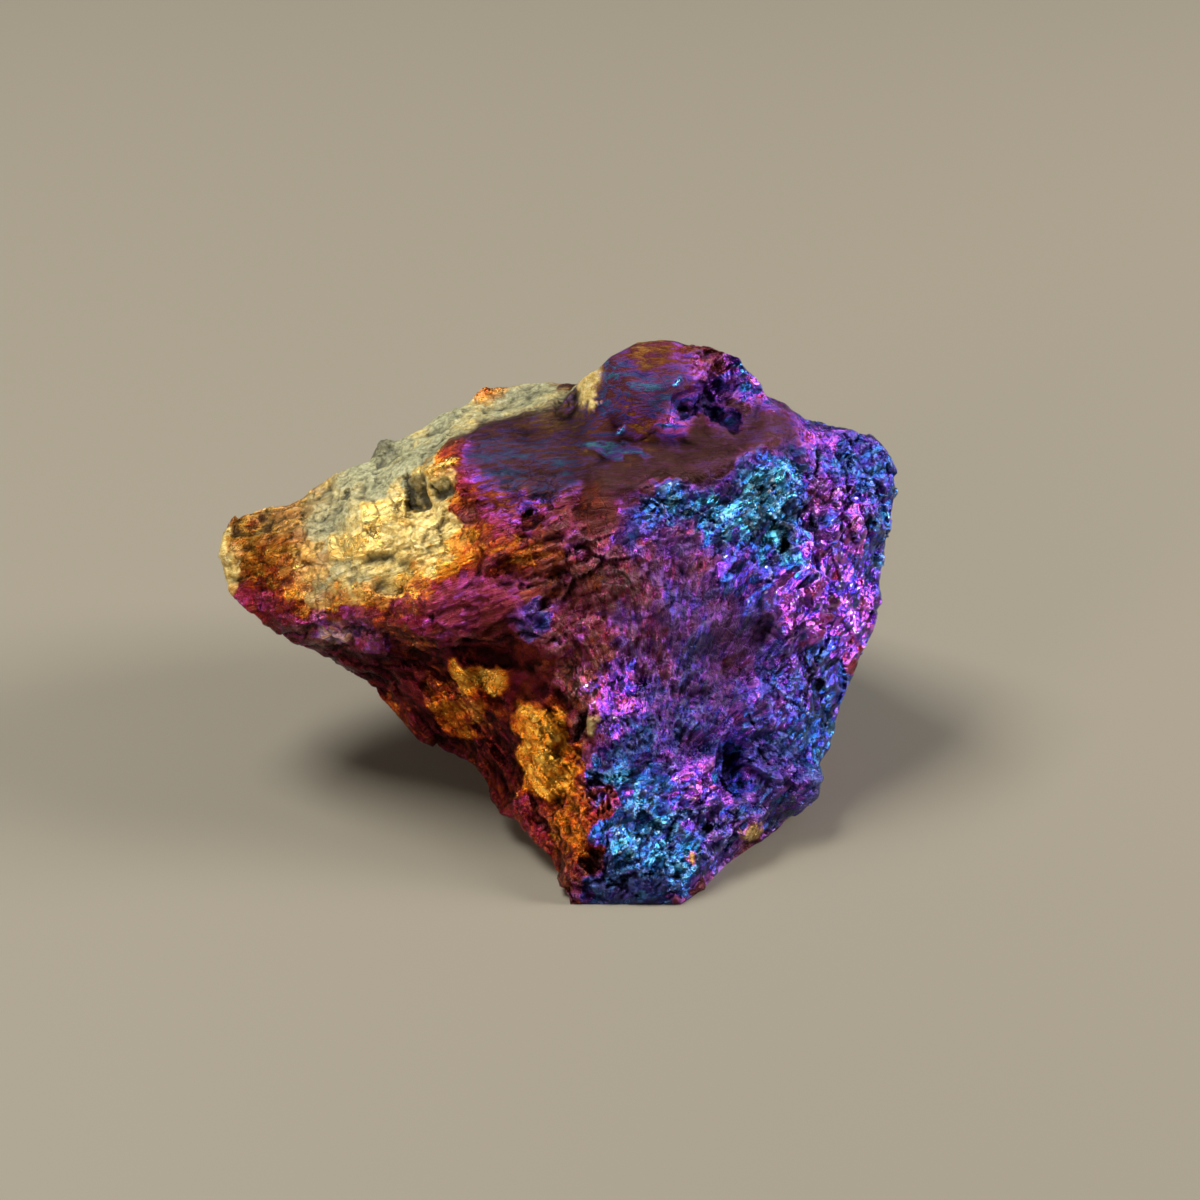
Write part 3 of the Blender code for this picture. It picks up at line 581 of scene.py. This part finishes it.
def plate_reach(seen, facing, plate):
    """How far each place is inside a plate (0 at its rim, 1 well in), and how far down it (-1 to 1)."""
    middle, half_length, half_width, lean, _, squareness = plate[:PLATE_SHAPE]
    turn = math.radians(lean)
    out = seen - np.array(middle)
    u = (out[:, 0] * math.cos(turn) + out[:, 1] * math.sin(turn)) / half_length
    v = (out[:, 0] * math.sin(turn) - out[:, 1] * math.cos(turn)) / half_width
    edge = (np.abs(u) ** squareness + np.abs(v) ** squareness) ** (1.0 / squareness)
    return np.clip((1.0 - edge) / (PLATE_RIM / half_width), 0.0, 1.0) * facing, np.clip(v, -1.0, 1.0)


def plate_rise(seen, facing, plate):
    """How far a plate stands out at each place, the most along its lower side."""
    inside, down = plate_reach(seen, facing, plate)
    return plate[PLATE_RISE] * inside * (0.6 + 0.4 * down)


def near_line(seen, line):
    """Distance from each place to a line of straight runs."""
    nearest = np.full(len(seen), 1e9)
    for a, b in zip(line, line[1:]):
        a, b = np.array(a), np.array(b)
        t = np.clip((seen - a) @ (b - a) / np.dot(b - a, b - a), 0.0, 1.0)
        nearest = np.minimum(nearest, np.linalg.norm(seen - a - t[:, None] * (b - a), axis=1))
    return nearest


def cracks_at(places, seen, facing):
    """How deep in a crack each place is. The cracks widen, narrow and break off along their way."""
    depth = np.zeros(len(seen))
    broken = np.clip(0.75 + 0.9 * noise_at(places, 1.3, 17.0, 2), 0.15, 1.3)
    for line, half_width, deepest in CRACKS:
        width = CRACK_SCALE * half_width * broken
        profile = np.exp(-(near_line(seen, line) / width) ** 2)
        depth = np.maximum(depth, CRACK_SCALE * deepest * broken * profile)
    return depth * facing


# ---------------------------------------------------------------- shape and traits
def layers(places, grain, blocks, leaves, crumb, columns, foil):
    """The relief at each place, in millimetres: layers of broken plates, ridges and fibres, by trait."""
    bent = places + 0.16 * noise_vectors(places, 1.6)
    wobbly = places + 0.22 * noise_vectors(places, 1.0, 3.0)
    patchy = np.clip(0.75 + 1.1 * noise_at(places, 2.6, 21.0, 2), 0.1, 1.5)
    slanted = bent @ np.array([[0.8, 0.0, 0.6], [0.0, 1.0, 0.0], [-0.6, 0.0, 0.8]])
    upright = places * np.array((1.0, 1.0, 0.45))
    tall = slanted * np.array((1.0, 1.0, 0.6))

    def on_slope(length, width):
        return drawn_out(wobbly, ALONG_SLOPE, length, width)

    def on_face(length, width):
        return drawn_out(wobbly, ALONG_FACE, length, width)

    square = "CHEBYCHEV"
    rough = blocks * flakes(slanted, 0.12, 0.17, 3.0, 2.3, square, seam_depth=0.15)
    rough += blocks * patchy * flakes(slanted, 0.14, 0.12, 4.0, 1.0, square, seam_depth=0.12)
    rough += leaves * flakes(on_slope(7.0, 3.2), 0.70, 0.30, 6.0, seam_depth=0.1)
    rough += leaves * flakes(on_slope(3.0, 1.3), 0.30, 0.14, 7.0, seam_depth=0.1)
    rough += leaves * 0.26 * patchy * ridges_at(on_slope(4.0, 1.3), 8.0)
    rough += foil * flakes(on_face(5.0, 2.4), 0.75, 0.34, 9.0, seam_depth=0.1)
    rough += foil * 0.26 * patchy * ridges_at(on_face(3.4, 1.2), 10.0)
    rough += columns * flakes(upright, 0.34, 0.20, 13.0, 1.8, seam_depth=0.08)
    rough += crumb * patchy * flakes(tall, 0.15, 0.08, 11.0, 1.25, square, seam_depth=0.05)
    rough += grain * 0.11 * noise_at(fanned(wobbly, 0.7, 2.2), 1.0, 1.0, 4)
    rough += grain * patchy * flakes(fanned(wobbly, 1.6, 3.2), 0.20, 0.07, 5.0)
    rough += (0.05 - 0.04 * np.clip(foil, 0.0, 1.0)) * noise_at(places, 0.6, 5.0)
    return rough


def sculpt(data):
    """Rounds the solid's facets off a little, and breaks its skin into plates, fibres, crumbs and cracks."""
    places = from_toe(data)
    held = places[:, 2] < HELD_BELOW
    pairs = edges_of(data)
    places = smoothed(places, pairs, 4, held)
    for middle, radius, rounds in SOFTENED:
        outside = np.linalg.norm(places - np.array(middle), axis=1) > radius
        places = smoothed(places, pairs, rounds, outside)
    normals = corner_normals(data, places)
    relief = blend_zones(places, RELIEF_ZONES, RELIEF_TRAITS).T
    grain, blocks, leaves, crumb, calm, columns, foil = relief
    rough = layers(places, grain, blocks, leaves, crumb, columns, foil)
    rough *= 1.0 - 0.85 * np.clip(calm, 0.0, 1.0)
    seen, facing = marks_frame(data, places)
    rough += sum(plate_rise(seen, facing, plate) for plate in PLATES)
    rough -= cracks_at(places, seen, facing)
    for middle, spread, rise in SWELLS:
        rough += rise * np.exp(-np.sum((places - np.array(middle)) ** 2, axis=1) / spread ** 2)
    places = np.where(held[:, None], places, places + rough[:, None] * normals)
    low = np.array(cad_box[0]) / MM - TOE
    high = np.array(cad_box[1]) / MM - TOE
    places = np.clip(places, low, high)
    data.vertices.foreach_set("co", ((places + TOE) * MM).ravel())
    rounded = calm + foil + leaves > crumb + blocks + 0.2
    data.polygons.foreach_set("use_smooth", rounded[faces_of(data)[:, 0]])
    data.update()


def hollowness(data, places):
    """How far each corner lies below the surface around it, near by and farther off."""
    pairs = edges_of(data)
    normals = corner_normals(data, places)
    free = np.zeros(len(places), dtype=bool)
    near = smoothed(places, pairs, 4, free)
    far = smoothed(near, pairs, 20, free)
    return np.sum((near - places) * normals, axis=1), np.sum((far - near) * normals, axis=1)


def paint(data):
    """Lays the tarnish zones over the surface as one number a corner for each trait, with painted shade
    added in hollows and cracks.
    """
    places = from_toe(data)
    relief = dict(zip(RELIEF_TRAITS, blend_zones(places, RELIEF_ZONES, RELIEF_TRAITS).T))
    calm = relief["calm"][:, None]
    bent = places + 0.15 * noise_vectors(places, 1.2, 6.0)
    plates = plate_places(bent, 0.9, 2.0) * (1.0 - calm) + bent * calm
    warped = plates + 0.9 * noise_vectors(places, 2.8, 4.0)
    traits = blend_zones(warped, ZONES, TRAITS)
    restless = (1.0 - traits[:, BARE]) * (1.0 - 0.7 * np.clip(relief["foil"], 0.0, 1.0))
    traits[:, FILM] += 0.09 * noise_at(plates, 1.6, 31.0, 2) * restless
    seen, facing = marks_frame(data, places)
    for plate in PLATES:
        inside = plate_reach(seen, facing, plate)[0][:, None]
        traits = traits * (1.0 - inside) + np.array(plate[PLATE_SHAPE:]) * inside
    # painted shade: hollows, near and wide, and cracks are added to the shade trait; crests that stand out
    # take a little of it off
    near, far = hollowness(data, places)
    glint = np.clip(traits[:, GLINT], 0.0, 1.0)
    hollow_shade = np.clip(near / NEAR_HOLLOW, -0.4, 1.0) * (0.45 - 0.25 * glint)
    hollow_shade += np.clip(far / FAR_HOLLOW, -0.3, 1.0) * 0.55
    traits[:, SHADE] += np.clip(hollow_shade, -0.1, 1.0) + cracks_at(places, seen, facing)
    columns = dict(zip(TRAITS, traits.T))
    columns.update((name, relief[name]) for name in ("grain", "leaves", "calm", "foil"))
    # painted highlight: how far a corner stands out as a crest
    columns["edge"] = np.clip(-near / SHARP_EDGE, 0.0, 1.0)
    columns.update(zip(BAND_TRAITS, blend_zones(places, BAND_ZONES, BAND_TRAITS).T))
    for name, values in columns.items():
        attribute = data.attributes.new(name, "FLOAT", "POINT")
        attribute.data.foreach_set("value", np.clip(values, 0.0, 1.0).astype(np.float32))


# ---------------------------------------------------------------- material
class Nodes:
    """A small helper that adds shader nodes and joins them."""

    def __init__(self, material):
        material.use_nodes = True
        self.tree = material.node_tree
        self.shader = self.tree.nodes["Principled BSDF"]

    def put(self, socket, value):
        if isinstance(value, bpy.types.NodeSocket):
            self.tree.links.new(value, socket)
        else:
            socket.default_value = value

    def add(self, kind, inputs=(), **settings):
        node = self.tree.nodes.new(kind)
        for name, value in settings.items():
            setattr(node, name, value)
        for name, value in dict(inputs).items():
            self.put(node.inputs[name], value)
        return node

    def math(self, operation, a, b=0.0, c=0.0, clamp=False):
        node = self.add("ShaderNodeMath", {0: a, 1: b, 2: c}, operation=operation, use_clamp=clamp)
        return node.outputs[0]

    def times(self, a, b, clamp=False):
        return self.math("MULTIPLY", a, b, clamp=clamp)

    def line(self, value, slope, start, clamp=False):
        """The value times the slope, plus the start."""
        return self.math("MULTIPLY_ADD", value, slope, start, clamp)

    def vector(self, operation, a, b=(0.0, 0.0, 0.0)):
        node = self.add("ShaderNodeVectorMath", {0: a, 1: b}, operation=operation)
        return node.outputs["Value" if operation in ("DOT_PRODUCT", "LENGTH") else "Vector"]

    def scaled(self, vector, scale):
        return self.add("ShaderNodeVectorMath", {0: vector, "Scale": scale}, operation="SCALE").outputs[0]

    def mix(self, factor, a, b, blend="MIX"):
        node = self.add("ShaderNodeMix", {}, data_type="RGBA", blend_type=blend)
        for index, value in ((0, factor), (6, a), (7, b)):  # a mix node's colour sockets
            self.put(node.inputs[index], value)
        return node.outputs[2]

    def ramp(self, factor, stops):
        node = self.add("ShaderNodeValToRGB", {0: factor})
        elements = node.color_ramp.elements
        while len(elements) < len(stops):
            elements.new(0.5)
        for element, (position, colour) in zip(elements, stops):
            element.position = position
            element.color = colour
        return node.outputs[0]

    def parts(self, colour):
        """A colour's three parts, as three random numbers."""
        return self.add("ShaderNodeSeparateColor", {"Color": colour}).outputs

    def mottling(self, place, scale, detail, roughness):
        return self.add("ShaderNodeTexNoise", {"Vector": place, "Scale": scale, "Detail": detail,
                                               "Roughness": roughness}).outputs

    def cells(self, place, scale=1.0, **settings):
        return self.add("ShaderNodeTexVoronoi", {"Vector": place, "Scale": scale}, **settings).outputs

    def bump(self, height, distance, strength, below=None, **settings):
        """The normal of a surface with these heights, laid over the normal below."""
        inputs = {"Height": height, "Distance": distance, "Strength": strength}
        if below is not None:
            inputs["Normal"] = below
        return self.add("ShaderNodeBump", inputs, **settings).outputs[0]

    def strands(self, place, along, length, width):
        """Places measured so that noise over them runs out in strands, with sizes in metres."""
        along = Vector(along).normalized()
        run = self.times(self.vector("DOT_PRODUCT", place, along), width / length - 1.0)
        pulled = self.vector("ADD", place, self.scaled(along, run))
        return self.scaled(pulled, 1.0 / width)

    def trait(self, name):
        return self.add("ShaderNodeAttribute", attribute_name=name).outputs["Fac"]


FILM_COLOURS = [
    (0.00, (0.98, 0.72, 0.24, 1)),
    (0.06, (0.97, 0.52, 0.07, 1)),
    (0.14, (0.86, 0.27, 0.015, 1)),
    (0.22, (0.48, 0.06, 0.008, 1)),
    (0.30, (0.24, 0.012, 0.014, 1)),
    (0.37, (0.42, 0.025, 0.085, 1)),
    (0.43, (0.60, 0.06, 0.38, 1)),
    (0.48, (0.66, 0.14, 1.00, 1)),
    (0.52, (0.50, 0.10, 1.00, 1)),
    (0.565, (0.16, 0.045, 0.74, 1)),
    (0.62, (0.04, 0.045, 0.56, 1)),
    (0.70, (0.02, 0.20, 0.78, 1)),
    (0.79, (0.06, 0.50, 0.98, 1)),
    (0.88, (0.14, 0.70, 0.88, 1)),
    (1.00, (0.26, 0.66, 0.62, 1)),
]
BROWN_VEIL = (0.070, 0.046, 0.042, 1)
BARE_GOLD = [
    (0.30, (0.46, 0.30, 0.06, 1)), (0.44, (0.84, 0.60, 0.16, 1)),
    (0.54, (0.96, 0.78, 0.30, 1)), (0.68, (0.98, 0.92, 0.60, 1)),
]
BARE_SAGE = [
    (0.30, (0.20, 0.19, 0.09, 1)), (0.46, (0.42, 0.41, 0.22, 1)),
    (0.60, (0.62, 0.60, 0.36, 1)), (0.72, (0.80, 0.78, 0.56, 1)),
]
# painted highlight colour for crests that stand out
EDGE_HIGHLIGHT = (0.85, 0.80, 0.90, 1)
# painted highlight colour for the tiny specks where a crystal face would mirror the light
SPARK_HIGHLIGHT = (0.90, 0.86, 1.0, 1)

# Lengths and widths in metres.
GRAIN_CELL = (0.00058, 0.00032)
CRYSTAL_CELL = (0.0014, 0.00078)
SPARK_HIGHLIGHT_CELL = (0.00042, 0.00022)
SLOPE_WRINKLE = (0.0022, 0.00032)
FACE_WRINKLE = (0.0020, 0.00030)
STEPS_A_METRE = 1500.0
BANDS_A_METRE = (340.0, 2400.0, 2400.0)
HAIRLINES_A_METRE = 700.0
BUMP = 0.0003  # how far fibres, wrinkles and bands stand out
STEP_BUMP, FINE_BUMP, CRACK_BUMP = 0.0002, 0.00015, 0.0001


def tarnish_material():
    """The tarnished ore: a film coloured by its thickness, under veils and bare ore, with painted shade in
    pits, gaps, hollows and cracks, and painted highlights on crests and in specks.
    """
    material = bpy.data.materials.new("peacock tarnish")
    n = Nodes(material)
    place = n.add("ShaderNodeTexCoord").outputs["Object"]
    film, dull, glint, bare, shade = (n.trait(name) for name in TRAITS)
    grain, calm, edge, bands = (n.trait(name) for name in ("grain", "calm", "edge", "bands"))
    leaves, foil, steps = (n.trait(name) for name in ("leaves", "foil", "steps"))

    # places along and across the fibres, which fan out from under the toe
    out = n.vector("SUBTRACT", place, tuple((FAN + TOE) * MM))
    heading = n.vector("NORMALIZE", out)
    run = n.times(n.vector("LENGTH", out), 15.0)
    fibres = n.add("ShaderNodeTexNoise", {"Vector": heading, "W": run, "Scale": 105.0, "Detail": 4.0,
                                          "Roughness": 0.65}, noise_dimensions="4D")
    threads = n.add("ShaderNodeTexVoronoi", {"Vector": heading, "W": run, "Scale": 60.0},
                    voronoi_dimensions="4D")
    small_cells = n.cells(n.strands(place, ALONG_STEPS, *GRAIN_CELL))
    large_cells = n.cells(n.strands(place, ALONG_STEPS, *CRYSTAL_CELL))
    cloud = n.mottling(place, 380.0, 7.0, 0.7)
    fine = n.mottling(place, 2600.0, 5.0, 0.75)["Fac"]
    mottle = n.mottling(place, 240.0, 4.0, 0.6)["Fac"]
    speck_colour = n.mix(grain, small_cells["Color"], threads.outputs["Color"])
    speck = n.parts(speck_colour)
    patch = n.parts(large_cells["Color"])

    # small slanting steps, each crystal face with its own
    slant = n.vector("DOT_PRODUCT", place, ACROSS_STEPS)
    slant = n.line(slant, STEPS_A_METRE, n.times(patch[0], 0.5))
    slant = n.line(cloud["Fac"], 1.2, slant)
    saw = n.math("FRACT", slant)
    stepped = n.times(steps, n.math("GREATER_THAN", patch[1], 0.25))

    # bands along the flat side of the hump, with fine streaks
    band = n.mottling(n.vector("MULTIPLY", place, BANDS_A_METRE), 1.0, 8.0, 0.80)["Fac"]
    either = n.line(band, 12.0, -5.6, clamp=True)
    band_shift = n.times(bands, n.line(either, 0.46, -0.22))

    # hairline cracks, which come and go; they bump the surface and carry painted shade
    warped = n.vector("ADD", place, n.scaled(cloud["Color"], 0.0011))
    hairline = n.cells(warped, HAIRLINES_A_METRE, feature="DISTANCE_TO_EDGE")
    hairline = n.line(hairline["Distance"], -22.0, 1.0, clamp=True)
    hairline = n.times(hairline, n.line(mottle, 6.0, -2.5, clamp=True))
    hairline = n.times(hairline, n.line(n.math("MAXIMUM", calm, bare), -0.75, 1.0))

    # wrinkles that run along the left slope, and down the left face
    slope_strands = n.mottling(n.strands(place, ALONG_SLOPE, *SLOPE_WRINKLE), 1.0, 4.0, 0.6)["Fac"]
    face_strands = n.mottling(n.strands(place, ALONG_FACE, *FACE_WRINKLE), 1.0, 4.0, 0.6)["Fac"]
    strand = n.times(leaves, n.math("SUBTRACT", slope_strands, 0.5))
    strand = n.line(foil, n.math("SUBTRACT", face_strands, 0.5), strand)

    # the film's thickness wanders, and jumps from grain to grain where the surface glints
    wander = n.line(cloud["Fac"], 0.26, -0.13)
    wander = n.times(wander, n.line(n.math("MAXIMUM", foil, glint), -0.7, 1.0))
    wander = n.line(strand, 0.34, n.math("ADD", wander, band_shift))
    small_jump = n.line(speck[0], 0.13, -0.065)
    large_jump = n.line(patch[1], 0.11, -0.055)
    jumps = n.times(n.math("ADD", small_jump, large_jump), n.line(glint, 0.8, 0.35))
    thickness = n.math("ADD", n.math("ADD", film, wander), jumps, clamp=True)
    colour = n.ramp(thickness, FILM_COLOURS)

    # a matt brown veil, torn open by bright specks where the grain glints
    torn = n.times(glint, n.math("GREATER_THAN", speck[1], 0.70))
    dullness = n.line(n.math("SUBTRACT", fine, 0.5), 0.9, dull)
    dullness = n.times(dullness, n.math("SUBTRACT", 1.0, torn), clamp=True)
    dullness = n.times(dullness, n.times(dull, 4.0, clamp=True))
    colour = n.mix(dullness, colour, n.mix(0.86, colour, BROWN_VEIL))

    # bare ore, gold or sage
    sage = n.math("ADD", n.line(mottle, 5.0, -2.9), n.times(dull, 2.5), clamp=True)
    colour = n.mix(bare, colour, n.mix(sage, n.ramp(fine, BARE_GOLD), n.ramp(fine, BARE_SAGE)))

    # painted shade: dark pits, gaps between grains, the shadowed sides of steps, hollows and hairlines
    pit_shade = n.line(fine, 2.8, -0.6, clamp=True)
    pit_shade_depth = n.line(n.math("MAXIMUM", calm, glint), -0.40, 0.70)
    pit_shade_depth = n.times(pit_shade_depth, n.line(foil, -0.7, 1.0, clamp=True))
    pit_shade_depth = n.times(pit_shade_depth, n.line(bare, -0.4, 1.0))
    gaps = n.math("ADD", speck[2], n.line(patch[2], 0.9, -0.45))
    gap_and_step_shade = n.times(glint, n.math("LESS_THAN", gaps, 0.24))
    gap_and_step_shade = n.math("MAXIMUM", gap_and_step_shade, n.times(stepped, n.math("LESS_THAN", saw, 0.30)))
    painted_shading = n.math("ADD", n.times(pit_shade_depth, n.math("SUBTRACT", pit_shade, 1.0)), 1.0)
    for darkening, depth in ((gap_and_step_shade, 0.65), (shade, 0.94), (hairline, 0.6)):
        painted_shading = n.times(painted_shading, n.line(darkening, -depth, 1.0))
    shade_grey = n.add("ShaderNodeCombineColor", {"Red": painted_shading, "Green": painted_shading, "Blue": painted_shading})
    colour = n.mix(1.0, colour, shade_grey.outputs[0], "MULTIPLY")
    # painted highlight: crests that stand out are lightened toward a pale lilac white, most where the grain
    # glints
    colour = n.mix(n.times(edge, n.line(glint, 0.14, 0.005)), colour, EDGE_HIGHLIGHT)

    # painted highlights: tiny white specks painted where a crystal face would mirror the light
    spots = n.cells(n.strands(place, ALONG_STEPS, *SPARK_HIGHLIGHT_CELL))
    kind = n.parts(spots["Color"])
    inside = n.math("LESS_THAN", spots["Distance"], n.times(kind[1], 0.42))
    spark_highlight = n.times(inside, n.math("GREATER_THAN", kind[0], 0.78))
    lively = n.line(glint, 2.2, n.line(dull, -0.8, -1.15), clamp=True)
    spark_highlight = n.times(n.times(spark_highlight, lively), n.math("SUBTRACT", 1.0, shade), clamp=True)
    colour = n.mix(n.times(spark_highlight, 0.75), colour, SPARK_HIGHLIGHT)

    rough = n.line(dullness, 0.28, 0.21)
    rough = n.line(bare, 0.22, rough)
    rough = n.line(glint, -0.08, rough)
    rough = n.math("ADD", rough, n.line(speck[2], 0.2, -0.08), clamp=True)
    metal = n.line(bare, -0.75, 1.0)

    # small and larger crystal faces, each turned its own way
    half = (0.5, 0.5, 0.5)
    small = n.scaled(n.vector("SUBTRACT", speck_colour, half), n.line(glint, 0.60, 0.12))
    large = n.scaled(n.vector("SUBTRACT", large_cells["Color"], half), n.line(glint, 0.85, 0.05))
    tilt = n.scaled(n.vector("ADD", small, large), n.line(calm, -0.8, 1.0))
    normal = n.bump(fibres.outputs["Fac"], BUMP, n.times(grain, 0.9))
    normal = n.bump(strand, BUMP, 1.0, normal)
    normal = n.bump(band, BUMP, n.times(calm, 0.7), normal)
    normal = n.bump(hairline, CRACK_BUMP, 0.7, normal, invert=True)
    normal = n.bump(saw, STEP_BUMP, stepped, normal)
    normal = n.bump(fine, FINE_BUMP, n.line(n.math("MAXIMUM", foil, calm), -0.45, 0.65), normal)
    normal = n.vector("NORMALIZE", n.vector("ADD", normal, tilt))

    for name, value in (("Base Color", colour), ("Roughness", rough), ("Metallic", metal),
                        ("Normal", normal), ("Coat Normal", normal),
                        ("Coat Weight", n.line(glint, 0.14, 0.03)), ("Coat Roughness", 0.12)):
        n.put(n.shader.inputs[name], value)
    return material


def lump():
    """The lump itself, as one piece."""
    data = fine_copy(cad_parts["ore"])
    sculpt(data)
    paint(data)
    data.materials.append(tarnish_material())
    piece = bpy.data.objects.new("ore_lump", data)
    bpy.context.scene.collection.objects.link(piece)
    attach(piece, "root")
    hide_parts("ore")


# ---------------------------------------------------------------- floor, light and camera
FLOOR_HALF = 3.0  # metres
FLOOR_COLOUR = (0.265, 0.236, 0.182, 1)
FLOOR_ROUGHNESS = 0.6
LIT_POINT = Vector((0, 0, 0.015))  # what the lights are turned to
# Each light: name, place, size (both in metres), power in watts, colour.
LIGHTS = [
    ("window", (0.35, 0.05, 0.20), (0.11, 0.14), 1.7, (1.0, 0.97, 0.95)),
    ("top", (-0.16, 0.10, 0.40), (0.20, 0.16), 2.0, (1.0, 0.98, 0.93)),
    ("left", (-0.28, -0.26, 0.10), (0.10, 0.10), 0.55, (1.0, 0.90, 0.74)),
]
ROOM_COLOUR = (0.80, 0.86, 1.0, 1)
ROOM_LIGHT = 0.05
CAMERA_AIM = (Vector(TOE) + Vector((-2.2, 15.0, 16.4))) * MM
CAMERA_HEIGHT = math.radians(35)
CAMERA_DISTANCE = 196 * MM
CAMERA_LENS, CAMERA_SENSOR = 80, 36


def floor():
    """The plain table."""
    data = bpy.data.meshes.new("floor")
    half = FLOOR_HALF
    corners = [(-half, -half, 0), (half, -half, 0), (half, half, 0), (-half, half, 0)]
    data.from_pydata(corners, [], [(0, 1, 2, 3)])
    piece = bpy.data.objects.new("floor", data)
    bpy.context.scene.collection.objects.link(piece)
    material = bpy.data.materials.new("plain table")
    n = Nodes(material)
    n.shader.inputs["Base Color"].default_value = FLOOR_COLOUR
    n.shader.inputs["Roughness"].default_value = FLOOR_ROUGHNESS
    data.materials.append(material)


def soft_light(name, place, size, power, colour):
    """A rectangular lamp, turned to the lump."""
    light = bpy.data.lights.new(name, "AREA")
    light.shape = "RECTANGLE"
    light.size, light.size_y = size
    light.energy = power
    light.color = colour
    lamp = bpy.data.objects.new(name, light)
    bpy.context.scene.collection.objects.link(lamp)
    lamp.location = place
    lamp.rotation_mode = "QUATERNION"
    aim = LIT_POINT - lamp.location
    lamp.rotation_quaternion = aim.to_track_quat("-Z", "Y")


def lights():
    """The faint light of the room, and three soft lamps."""
    world = bpy.data.worlds.new("studio")
    bpy.context.scene.world = world
    world.use_nodes = True
    background = world.node_tree.nodes["Background"]
    background.inputs["Color"].default_value = ROOM_COLOUR
    background.inputs["Strength"].default_value = ROOM_LIGHT
    for light in LIGHTS:
        soft_light(*light)


def camera():
    """The camera, in front of the lump and above it, as in the photo."""
    data = bpy.data.cameras.new("camera")
    data.lens = CAMERA_LENS
    data.sensor_width = CAMERA_SENSOR
    data.clip_start = 0.01
    piece = bpy.data.objects.new("camera", data)
    bpy.context.scene.collection.objects.link(piece)
    away = Vector((0, -math.cos(CAMERA_HEIGHT), math.sin(CAMERA_HEIGHT)))
    piece.location = CAMERA_AIM + CAMERA_DISTANCE * away
    piece.rotation_euler = (math.pi / 2 - CAMERA_HEIGHT, 0, 0)
    bpy.context.scene.camera = piece


camera()
lights()
floor()
lump()
bpy.context.scene.view_settings.view_transform = "Standard"
bpy.context.scene.view_settings.look = "None"
